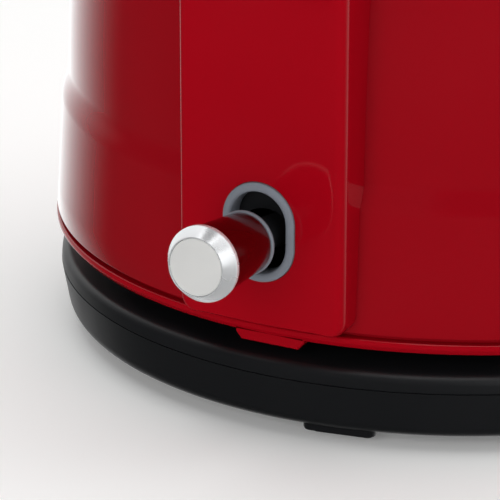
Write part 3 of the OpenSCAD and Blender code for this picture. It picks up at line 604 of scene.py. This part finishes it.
def make_base():
    """The two covers, the feet and the gland of the power base."""
    top = turned("base_top", rounded(
        [[0.5, parting_z], [base_r, parting_z], [base_r - 0.25, base_rim_z], [0.5, base_rim_z]],
        [0.1, 0.25, 1.7, 0.1], closed=True), (base_x, 0), sharp=40)
    plug = rod(1.0, parting_z, base_rim_z, (base_x, 0))
    plateau = turned("cutter", rounded(
        oblong(0.5, plateau_r, parting_z + 0.5, plateau_z), [0.1, 0.1, 1.0, 0.1], closed=True))
    cut(top, [plug, plateau, rod(1.0, parting_z, plateau_z)], "UNION")
    cut(top, [
        rod(base_r - 0.4 - base_wall, parting_z - 1, base_rim_z - base_wall, (base_x, 0), TURN),
        rod(plateau_r - base_wall, parting_z - 1, plateau_z - base_wall, count=TURN),
        rod(boss_r + 0.1, 0, plateau_z + 1, count=FINE_TURN),
    ], sharp=40)
    put(top, "power_base", "base_top_cover")

    outer = rounded([
        [0, base_z0], [base_floor_r + 4.9, base_z0], [base_r - 0.9, base_z0 + 4.6],
        [base_r, parting_z - parting_gap]], [3.6, 4.6], steps=12)
    inner = outer - base_wall * side_normals(outer)
    inner[0, 0] = 0
    inner[-1, 1] = parting_z - parting_gap
    profile = np.concatenate([outer, inner[::-1]])
    profile[:, 0] = np.maximum(profile[:, 0], 0)
    bottom = turned("base_bottom", profile, (base_x, 0), sharp=40)
    foot_layers = [
        (0.6, foot_z), (0.18, foot_z + 0.18), (0.0, foot_z + 0.6), (0.0, base_z0 + base_wall)
    ]
    housings = [
        stacked("cutter", foot_loop(foot_r0, foot_r1, foot_half, 1.6, k), foot_layers, upright)
        for k in range(foot_count)
    ]
    cut(bottom, housings, "UNION", sharp=40)
    pockets = [
        stacked("cutter", foot_loop(foot_r0 + 1.2, foot_r1 - 2.5, pocket_half, 1.0, k),
                [(0.0, -0.5), (0.0, pad_top + 0.1)], upright)
        for k in range(foot_count)
    ]
    turns = np.arange(4) * np.pi / 2
    sinks = [
        rod(sink_r, 0, base_z0 + 2.6, (screw_r * math.cos(a), screw_r * math.sin(a)))
        for a in turns
    ]
    for side in (-1, 1):
        x, y = (clamp_away * gland_out + side * clamp_half * gland_side)[:2]
        sinks.append(rod(sink_r, 0, base_z0 + 1.2, (base_x + x, y)))
    way = gland_way("cutter", 0, gland_r + 0.1, -gland_l, gland_l)
    cut(bottom, pockets + sinks + [way], sharp=40)
    put(bottom, "power_base", "base_bottom_cover")

    pads = [
        stacked("pad", foot_loop(foot_r0 + 1.3, foot_r1 - 2.6, pad_half, 0.9, k),
                [(0.5, 0.0), (0.15, 0.15), (0.0, 0.5), (0.0, pad_top)], upright)
        for k in range(foot_count)
    ]
    put(join(pads, "base_feet_pads"), "power_base", "base_feet")

    gland = gland_way("gland", cord_r, gland_r, -gland_l, 2.0)
    ears = rounded(oblong(-gland_r - 1.4, gland_r + 1.4, -3.4, 3.4), 0.6, closed=True)

    def on_gland(p, h):
        """An outline across the gland's line, with its distance outwards from the base's edge."""
        centre = np.array([base_x, 0, gland_z]) + (base_r + h)[:, None] * gland_out
        return centre + p[:, :1] * gland_side + p[:, 1:] * UP

    flange = stacked("cutter", ears, [(0.0, -base_wall - 4.8), (0.0, -base_wall - 3.2)], on_gland)
    cut(gland, [flange], "UNION")
    cut(gland, [gland_way("cutter", 0, cord_r, -gland_l - 1, 0)])
    put(gland, "power_base", "cord_gland")


# ---- Jug body ----


def shell_line():
    """The body's outer line from foot to mouth: a straight draft, a half cosine step, a wall whose
    radius falls by a power of the height, and a Bezier shoulder."""
    t = np.linspace(0, 1, 24)
    step = np.stack([band_r - step_d * (1 - np.cos(np.pi * t)) / 2, band_z + step_h * t], 1)
    wall = np.stack([step_r - wall_draft * t ** wall_power, step_z + wall_h * t], 1)
    shoulder = bezier(
        [wall_r, wall_z], [wall_r - 0.0765 * shoulder_h, wall_z + 0.55 * shoulder_h],
        [shell_top_r + 9, shell_top - 1.2], [shell_top_r, shell_top], 28)
    round_r = 0.35
    foot = np.array([
        [shell_r0 - round_r, shell_z0], [shell_r0 - 0.1, shell_z0 + 0.1],
        [shell_r0, shell_z0 + round_r]])
    band = np.linspace([shell_r0, shell_z0 + round_r], [band_r, band_z], 6)
    return np.concatenate([foot, band[1:], step[1:], wall[1:], shoulder[1:]])


def shell_radius(z):
    """Radius of the body's outer line at each height."""
    line = shell_line()
    return np.interp(z, line[:, 1], line[:, 0])


def body_x(outline):
    """How far out the body's surface lies at each point of an outline seen from behind."""
    y, z = outline[:, 0], outline[:, 1]
    return np.sqrt(np.maximum(shell_radius(z) ** 2 - y ** 2, 0)) + 0.05


def body_solid():
    """The whole space inside the body's outer surface, grown by a gap, for cutting what fits
    against it."""
    gap = 0.1
    line = shell_line()
    line = line + gap * side_normals(line)
    return turned("cutter", np.concatenate([
        [[0.0, shell_z0 - gap]], line, [[0.0, shell_top + gap]]]), ring=False)


def lever_opening(inset, beyond):
    """A way through the body for the lever: an obround that lies lower than the slot, from inside
    the body to a distance beyond it."""
    wide = slot_w + 2 * bezel_face - opening_side - inset
    outline = obround(wide, opening_h - inset) + [0, slot_z - opening_drop]
    reach = [(0.0, band_r - 12), (0.0, band_r + beyond)]
    return stacked("cutter", outline, reach, facing_rear)


def make_body():
    """The body shell, its rim ring with the lug, and the neck ring at the mouth."""
    outer = shell_line()
    inner = (outer - shell_wall * side_normals(outer))[::-1]
    inner[-1, 1] = shell_z0
    shell = turned("shell", np.concatenate([outer, inner]), sharp=40)
    low, top = wall_z + 10.0, spout_top - 3.0
    window = stacked("cutter", rounded(
        [[-3, low], [3, low], [spout_half - 6, top], [6 - spout_half, top]], 1.5, closed=True),
        [(0.0, -rim_r - 4), (0.0, -20.0)], facing_rear)
    cut(shell, [lever_opening(0, 6), window], sharp=40)
    put(shell, "jug", "body_shell")

    ring = turned("ring", rounded([
        [neck_in_r, rim_z], [rim_r, rim_z], [ring_r, rim_z + 1.1], [ring_r, rim_top],
        [neck_out_r, rim_top], [neck_out_r, ring_high[2]], [neck_in_r, ring_high[2]]],
        [0.15, 0.35, 0.5, 0.4, 0.2, 0.3, 0.3], closed=True, steps=5), sharp=50)
    lug = stacked("cutter", rounded([
        [-lug_half, rim_z + 0.5], [-lug_half, rim_z - 0.4], [1.2 - lug_half, rim_z - lug_h],
        [lug_half - 1.2, rim_z - lug_h], [lug_half, rim_z - 0.4], [lug_half, rim_z + 0.5]],
        [0.1, 0.3, 0.3, 0.3, 0.3, 0.1], closed=True, steps=4),
        [(0.0, neck_in_r), (0.0, rim_r - 0.15), (0.25, rim_r + 0.2)], facing_rear)
    put(join([ring, lug], "ring_with_lug"), "jug", "rim_ring")

    neck = turned("neck", rounded([
        [mouth_r, shell_top - 5], [mouth_r + 1.3, shell_top - 5], [mouth_r + 1.3, shell_top + 0.05],
        [shell_top_r + 1.4, shell_top + 0.05], [shell_top_r + 1.2, shell_top + neck_ring_t],
        [mouth_r, shell_top + neck_ring_t]],
        [0.3, 0.3, 0.2, 0.3, 0.45, 0.5], closed=True, steps=5), sharp=40)
    notch = slab(hinge_x - 10, hinge_x + 10, head_half + 1, shell_top - 8, shell_top + 8)
    cut(neck, [notch], sharp=40)
    put(neck, "jug", "neck_ring")


# ---- Rear panel and bezel ----


def obround_reach(w, h, angle):
    """Distance from an obround's middle to its edge at each angle: to its straight side where the
    ray meets it within the straight length, else to the end's half circle."""
    a, lift = w / 2, (h - w) / 2
    c, s = np.abs(np.cos(angle)), np.abs(np.sin(angle))
    straight = a / np.maximum(c, 1e-9)
    curved = lift * s + np.sqrt(np.maximum(a * a - lift * lift * c * c, 0))
    return np.where(straight * s <= lift, straight, curved)


def panel_outline(half, low, top, low_r, top_r):
    """The panel's outline seen from behind: a rectangle with round corners, and points along its
    four sides, closest beside the slot."""
    n = 10
    bend = rounded(oblong(-half, half, low, top), [low_r, low_r, top_r, top_r],
                   closed=True, steps=n)
    up = np.concatenate([np.linspace(slot_z - 14, slot_z + 14, 24), [60.0, 70.0, 80.0]])
    across = np.linspace(-half + 4, half - 4, 18)
    foot = np.stack([across, np.full(len(across), low)], 1)
    head = np.stack([across[::-1], np.full(len(across), top)], 1)
    right = np.stack([np.full(len(up), half), up], 1)
    left = np.stack([np.full(len(up), -half), up[::-1]], 1)
    return np.concatenate([
        bend[:n], foot, bend[n:2 * n], right, bend[2 * n:3 * n], head, bend[3 * n:], left])


def make_panel():
    """The panel: its face goes from the bezel's hole to its outline, over a rounded edge, back
    along its sides to the body, and returns inside by the wall's thickness."""
    loop = panel_outline(panel_half, panel_z0, panel_top, panel_corner_r, 0.6)
    face_in = panel_outline(panel_half - panel_edge_r, panel_z0 + 0.9, panel_top - 0.5, 2.2, 0.4)
    edge = np.linalg.norm(loop - face_in, axis=1)
    middle = np.array([0.0, slot_z])
    angle = np.arctan2(loop[:, 1] - slot_z, loop[:, 0])
    around = 2 * bezel_face + 0.2
    reach = obround_reach(slot_w + around, slot_h + around, angle)
    hole = middle + reach[:, None] * np.stack([np.cos(angle), np.sin(angle)], 1)
    layers = []
    for t in np.linspace(0, 1, 8):
        p = hole + (face_in - hole) * t
        layers.append(np.column_stack([np.full(len(p), panel_x), p]))
    for q in np.linspace(0, np.pi / 2, 8)[1:]:
        p = loop + (face_in - loop) * (1 - math.sin(q))
        layers.append(np.column_stack([panel_x - edge * (1 - math.cos(q)), p]))
    start_x = panel_x - edge
    back_x = np.minimum(body_x(loop), start_x - 0.3)
    for t in np.linspace(0, 1, 6)[1:]:
        layers.append(np.column_stack([start_x + (back_x - start_x) * t, loop]))
    inner = loop - panel_wall * side_normals(loop, closed=True)
    under_x = panel_x - panel_wall
    layers.append(np.column_stack([np.minimum(body_x(inner), under_x - 0.3), inner]))
    layers.append(np.column_stack([np.full(len(inner), under_x), inner]))
    layers.append(np.column_stack([np.full(len(hole), under_x), hole]))
    panel = loft("panel", layers, ring=True, sharp=35)
    put(panel, "jug", "rear_panel")


def make_bezel():
    """The bezel: a crowned lip carried round the slot. Its section rises from the panel to a crest
    and rolls over into the slot."""
    loop = obround(slot_w, slot_h, 40) + [0, slot_z]
    normal = side_normals(loop, closed=True)
    proud = bezel_high[0] - panel_x
    section = rounded([
        [0.0, bezel_low[0]], [bezel_face, bezel_low[0]], [bezel_face, panel_x + 0.45 * proud],
        [0.55 * bezel_face, panel_x + proud], [0.2, panel_x + 0.75 * proud], [0.0, panel_x - 0.6]],
        [0.1, 0.1, 0.3, 1.4, 0.6, 0.8], closed=True, steps=7)
    layers = [
        np.column_stack([np.full(len(loop), x), loop + d * normal]) for d, x in section
    ]
    put(loft("bezel", layers, ring=True, sharp=45), "jug", "slot_bezel")


def make_liner():
    """A black baffle behind the slot: it fills the space between the panel and the body, with a way
    through it for the lever where the body is open."""
    liner = stacked("slot_baffle", obround(slot_w + 1.6, slot_h + 1.6) + [0, slot_z],
                    [(0.0, band_r - 4), (0.0, bezel_low[0] - 0.15)], facing_rear)
    cut(liner, [body_solid(), lever_opening(0.2, 12)])
    liner.data.materials.append(black_plastic)
    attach(liner, "jug")


# ---- Lever ----


def make_lever():
    """The knob, its collar, and the cap with its disc, all turned on the knob's axis."""
    bore_r = neck_r + 0.05
    knob = on_knob("knob", rounded([
        [bore_r, knob_s], [knob_root_r, knob_s], [knob_end_r, knob_end_s - 0.02],
        [3.05, knob_end_s - 0.02], [3.05, knob_end_s - 2.9], [bore_r, knob_end_s - 2.9]],
        [0.05, 0.35, 0.25, 0.05, 0.02, 0.02], closed=True, steps=6))
    put(knob, "switch_lever", "lever_knob", knob_red)
    collar = on_knob("collar", rounded(
        oblong(bore_r, knob_root_r + 0.25, collar_s, collar_s + collar_t),
        [0.05, 0.35, 0.35, 0.05], closed=True, steps=6))
    put(collar, "switch_lever", "lever_collar")
    s = knob_end_s + stack_gap
    seat, seat_wall = s + cap_t - 0.8, disc_r + 0.04
    cap = on_knob("cap_ring", rounded([
        [0.05, s], [cap_r, s], [cap_r, s + 1.0], [disc_r + 0.25, s + cap_t],
        [seat_wall, s + cap_t], [seat_wall, seat], [0.05, seat]],
        [0.02, 0.3, 0.45, 0.1, 0.04, 0.05, 0.02], closed=True, steps=7))
    put(cap, "switch_lever", "lever_cap_ring", satin_chrome)
    s = knob_end_s + cap_t - 0.73
    disc = on_knob("cap_disc", rounded(
        [[0.0, s], [disc_r, s], [disc_r, s + 0.7], [0.0, s + 0.74]], [0.05, 0.18]), ring=False)
    put(disc, "switch_lever", "lever_cap_disc")


# ---- Spout ----


def spout_loop(s, inset):
    """One level of the spout at share s of its height, from side to side: its reach beyond the wall
    grows with the height and bends outwards at the lip, and across it falls off from a round nose
    to the sides."""
    widest = spout_half + 1.0
    half = widest * s ** 0.55 * (1 - inset / widest) + 0.5
    wall_x = wall_r - 12.0
    grown = 0.85 * s ** 1.15 + 0.15 * s ** 6
    tip = wall_r - 3.0 + (spout_tip_x - wall_r + 3.0) * grown - inset * 1.25
    q = np.linspace(-1, 1, 49)
    nose = 0.12
    fall_power = 1.2
    fall = (np.sqrt(q * q + nose) - math.sqrt(nose)) / (math.sqrt(1 + nose) - math.sqrt(nose))
    return np.stack([-(wall_x + (tip - wall_x) * (1 - fall ** fall_power)), half * q], 1)


def spout_skin(name, inset, lift, top, depth):
    """The spout's levels at an inset, from a lift above its lowest point up to top, joined to a
    skin whose flat back is at a depth inside the body."""
    layers = []
    for s in np.linspace(0.02, 1, 40):
        front = spout_loop(s, inset)
        z = spout_z0 + lift + (top - spout_z0 - lift) * s
        back = np.array([[depth - wall_r, front[-1, 1]], [depth - wall_r, front[0, 1]]])
        line = np.concatenate([front, back])
        layers.append(upright(line, np.full(len(line), z)))
    return loft(name, layers)


def make_spout():
    """The spout: an outer skin less an inner one, open at the top, trimmed to the body."""
    outside = spout_skin("spout_skin", 0.0, 1.0, spout_top, 14.0)
    inside = spout_skin("cutter", spout_wall, 4.0, spout_top + 0.5, 16.0)
    cut(outside, [inside, body_solid()], sharp=50)
    put(outside, "jug", "spout")


# ---- Handle and hinge ----


def handle_line():
    """The middle line of the handle's side view: two Bezier arcs from the panel's top, out to the
    grip, to the hinge block."""
    bow = 0.404 * (shell_top - handle_z0)
    low = np.array([panel_x - handle_t / 2 - 1.3, handle_z0])
    mid = np.array([handle_x, handle_mid_z])
    high = np.array([head_x, shell_top - 1])
    return np.concatenate([
        bezier(low, low + [3, 15], mid - [0, bow], mid, 40)[:-1],
        bezier(mid, mid + [0, bow], [handle_x - 14, shell_top + 3], high, 44)])


def handle_half(name, near, far, soft):
    """One half of the handle: a rounded section between two distances from the middle line, as wide
    as the panel at its foot and slimmer at the grip, carried along the line and a little beyond its
    ends."""
    line = handle_line()
    normal = side_normals(line)
    rise = np.clip((line[:, 1] - handle_z0) / 30.0, 0, 1)
    half = panel_half - (panel_half - grip_w / 2) * (1 - np.cos(np.pi * rise)) / 2
    layers = []
    for p, n, w in zip(line, normal, half):
        outline = rounded(oblong(-w, w, near, far), [soft[0], soft[0], soft[1], soft[1]],
                          closed=True, steps=9)
        q = p + outline[:, 1:] * n
        layers.append(np.column_stack([q[:, 0], outline[:, 0], q[:, 1]]))
    first, last = layers[0].copy(), layers[-1].copy()
    first += np.array([-0.19, 0, -1.0]) * 6
    last += np.array([-1.0, 0, -0.05]) * 4
    return loft(name, [first] + layers + [last], sharp=45)


def handle_trim():
    """Blocks that cut the handle off level at the panel's top and upright at the hinge block."""
    under = slab(40.0, 110.0, 40.0, handle_z0 - 40, handle_z0)
    edge = head_x + 0.2
    behind = slab(edge - 30, edge, 40.0, shell_top - 22, shell_top + 20)
    return [under, behind, body_solid()]


def make_handle():
    """Outer and inner half of the handle, with the two sunk screw seats, and the hinge block."""
    outer = handle_half("handle_back", 0.08, handle_t / 2, (0.35, 5.5))
    cut(outer, handle_trim(), sharp=45)
    put(outer, "jug", "handle_outer")
    inner = handle_half("handle_front", -handle_t / 2, -0.08, (5.5, 0.35))
    a = np.linspace(0, 2 * np.pi, 40, endpoint=False)
    front_x = handle_x - handle_t / 2
    seats = [
        loft("cutter", [
            np.stack([x + 0 * a, seat_r * np.cos(a), z + seat_r * np.sin(a)], 1)
            for x in (front_x - 12, front_x + 0.6)
        ]) for z in (handle_mid_z - seat_apart, handle_mid_z + seat_apart)
    ]
    cut(inner, handle_trim() + seats, sharp=45)
    put(inner, "jug", "handle_inner")

    plan = rounded(oblong(hinge_x - 5, head_x, -head_half, head_half), 1.2, closed=True)
    block = stacked("hinge_mount", plan, [
        (0.0, shell_top - 14), (0.0, shell_top + 0.4), (0.25, shell_top + 0.95),
        (0.8, shell_top + neck_ring_t)], upright)
    ear_in = knuckle_half + 0.4
    ear_t = head_half - ear_in
    turn = np.linspace(0, np.pi, 20)
    outline = np.concatenate([
        np.stack([hinge_x + knuckle_r * np.cos(turn), hinge_z + knuckle_r * np.sin(turn)], 1),
        [[hinge_x - knuckle_r, shell_top - 2], [hinge_x + knuckle_r, shell_top - 2]]])
    steps = [(0.45, 0.0), (0.12, 0.12), (0.0, 0.45), (0.0, ear_t - 0.45), (0.12, ear_t - 0.12),
             (0.45, ear_t)]

    def ear(side):
        """One ear of the hinge block: its outline seen from the side, built outwards along Y."""
        return stacked("cutter", outline[::-1], steps, lambda p, h: np.stack(
            [p[:, 0], side * (ear_in + h), p[:, 1]], 1))

    cut(block, [ear(-1), ear(1)], "UNION", sharp=40)
    cut(block, [body_solid(), cross_rod(hinge_x, hinge_z, pin_r + 0.02, head_half + 1)], sharp=40)
    put(block, "jug", "hinge_block")


# ---- Lid ----


def make_lid():
    """The domed lid with its hinge tab, its knob and the knob's collar."""
    dome_z = lid_z0 + lid_skirt
    a = np.linspace(0, np.pi / 2, 40)
    dome_h = lid_top - dome_z
    inner_r = lid_r - lid_wall
    outer = np.stack([lid_r * np.cos(a), dome_z + dome_h * np.sin(a)], 1)
    inner = np.stack([inner_r * np.cos(a), dome_z + (dome_h - lid_wall) * np.sin(a)], 1)
    foot = rounded([[inner_r, lid_z0 + 1], [inner_r, lid_z0], [lid_r, lid_z0], [lid_r, lid_z0 + 1]],
                   0.35, steps=5)
    profile = np.concatenate([foot, outer, inner[::-1]])
    profile[:, 0] = np.maximum(profile[:, 0], 0)
    lid = turned("lid_dome", profile, sharp=40)
    knuckle = cross_rod(hinge_x, hinge_z, knuckle_r, knuckle_half)
    plan = rounded(oblong(lid_r - 6, hinge_x, -knuckle_half, knuckle_half), 0.3, closed=True,
                   steps=4)
    tab = stacked("cutter", plan, [
        (0.3, hinge_z - 2), (0.0, hinge_z - 1.7), (0.0, hinge_z + 1.7), (0.3, hinge_z + 2)],
        upright)
    cut(lid, [knuckle, tab], "UNION", sharp=40)
    below = lid_z0 - 1
    hollow = turned("cutter", np.concatenate([[[inner_r, below]], inner, [[0.0, below]]]),
                    ring=False)
    cut(lid, [hollow, cross_rod(hinge_x, hinge_z, pin_r + 0.08, knuckle_half + 1)], sharp=40)
    put(lid, "lid", "lid_shell")

    collar = turned("knob_seat", rounded([
        [2.05, lid_top + 0.05], [9, lid_top + 0.05], [9, lid_top + 0.75], [6.4, lid_top + 1.5],
        [2.05, lid_top + 1.5]], [0.05, 0.2, 0.35, 0.4, 0.05], closed=True, steps=6),
        count=FINE_TURN, sharp=50)
    put(collar, "lid", "knob_collar")

    crown_z = lid_ball_z + lid_knob_flat
    rim = math.sqrt(lid_knob_r ** 2 - lid_knob_flat ** 2)
    turn = np.linspace(-1.05, math.asin(0.72), 40)
    ball = np.stack([lid_knob_r * np.cos(turn), lid_ball_z + lid_knob_r * np.sin(turn)], 1)
    crown = bezier(ball[-1], ball[-1] + [-1.6, 1.2], [rim - 1.2, crown_z], [0.0, crown_z], 16)
    root_z = lid_top + 1.62
    neck_line = bezier([5.0, root_z], [5.0, lid_top + 2.6], ball[0] - [0.9, 1.3], ball[0], 10)
    knob = turned("lid_grip", np.concatenate([
        [[1.6, lid_ball_z - 6], [1.6, root_z]], neck_line, ball[1:], crown[1:-1],
        [[0.02, crown_z], [0.02, lid_ball_z - 6]]]), count=FINE_TURN, sharp=40)
    put(knob, "lid", "lid_knob")


make_base()
make_body()
make_panel()
make_bezel()
make_liner()
make_lever()
make_spout()
make_handle()
make_lid()


# ---- Studio ----


def softbox(name, place, size, power):
    """A square area light at a place that faces the studio's middle, in metres and watts."""
    lamp = bpy.data.lights.new(name, "AREA")
    lamp.shape = "SQUARE"
    lamp.size = size
    lamp.energy = power
    obj = bpy.data.objects.new(name, lamp)
    obj.location = place
    obj.rotation_mode = "QUATERNION"
    way = Vector((0, 0, 0.1)) - Vector(place)
    obj.rotation_quaternion = way.to_track_quat("-Z", "Y")
    bpy.context.scene.collection.objects.link(obj)
    return obj


def make_studio():
    """A pale floor, a surround that is dim on the side that the panel mirrors and bright elsewhere,
    and softboxes. Neither the floor nor the rear softbox shows in a mirror."""
    side = 12.0
    mesh = bpy.data.meshes.new("floor")
    corners = [(x, y, 0) for x, y in oblong(-side, side, -side, side)]
    mesh.from_pydata(corners, [], [(0, 1, 2, 3)])
    floor = bpy.data.objects.new("floor", mesh)
    bpy.context.scene.collection.objects.link(floor)
    floor.location.z = FLOOR_Z
    floor.visible_glossy = False
    paper = bpy.data.materials.new("white_paper")
    paper.use_nodes = True
    tree = paper.node_tree
    tree.nodes.clear()
    body = add(tree, "ShaderNodeBsdfPrincipled", None,
               {"Base Color": linear("#f8f8f7"), "Roughness": 0.9, "Specular IOR Level": 0.1,
                "Emission Color": (1.0, 1.0, 1.0, 1.0), "Emission Strength": 0.12})
    add(tree, "ShaderNodeOutputMaterial", None, None, {"Surface": (body, "BSDF")})
    mesh.materials.append(paper)

    world = bpy.data.worlds.new("studio")
    bpy.context.scene.world = world
    world.use_nodes = True
    tree = world.node_tree
    tree.nodes.clear()
    dim_azimuth, dim_elevation = math.radians(-5), math.radians(-20)
    dim_way = (
        math.cos(dim_elevation) * math.cos(dim_azimuth),
        math.cos(dim_elevation) * math.sin(dim_azimuth),
        math.sin(dim_elevation),
    )
    way = add(tree, "ShaderNodeTexCoord")
    along = add(tree, "ShaderNodeVectorMath", {"operation": "DOT_PRODUCT"}, {1: dim_way},
                {0: (way, "Generated")})
    angle = add(tree, "ShaderNodeMath", {"operation": "ARCCOSINE"}, None, {0: (along, "Value")})
    dim_edge, bright_edge = math.radians(78), math.radians(127)
    dim_level, bright_level = 0.03, 1.2
    level = add(tree, "ShaderNodeMapRange", {"interpolation_type": "SMOOTHSTEP"},
                {"From Min": dim_edge, "From Max": bright_edge,
                 "To Min": dim_level, "To Max": bright_level},
                {"Value": (angle, 0)})
    light = add(tree, "ShaderNodeBackground", None, {"Color": (1.0, 1.0, 1.0, 1.0)},
                {"Strength": (level, "Result")})
    add(tree, "ShaderNodeOutputWorld", None, None, {"Surface": (light, "Background")})

    softbox("softbox_top", (0.35, -0.1, 1.3), 1.0, 4)
    softbox("softbox_right", (0.55, 1.0, 0.45), 0.8, 2.5)
    key = softbox("softbox_rear", (1.45, 0.0, 0.42), 1.0, 11.5)
    key.visible_glossy = False


def make_camera():
    """A long lens behind the jug, towards positive Y and a little above, aimed at the lever."""
    distance = 0.6017
    azimuth, elevation = math.radians(29.0), math.radians(19.85)
    aim = Vector((panel_x * MM, -0.0018, 0.0363))
    back = Vector((
        math.cos(elevation) * math.cos(azimuth),
        math.cos(elevation) * math.sin(azimuth),
        math.sin(elevation),
    ))
    lens = bpy.data.cameras.new("camera")
    lens.lens = 243.12
    lens.sensor_width = 36.0
    lens.clip_start = 0.01
    camera = bpy.data.objects.new("camera", lens)
    camera.location = aim + distance * back
    camera.rotation_mode = "QUATERNION"
    camera.rotation_quaternion = (-back).to_track_quat("-Z", "Y")
    bpy.context.scene.collection.objects.link(camera)
    bpy.context.scene.camera = camera


make_studio()
make_camera()
bpy.context.scene.view_settings.view_transform = "Standard"
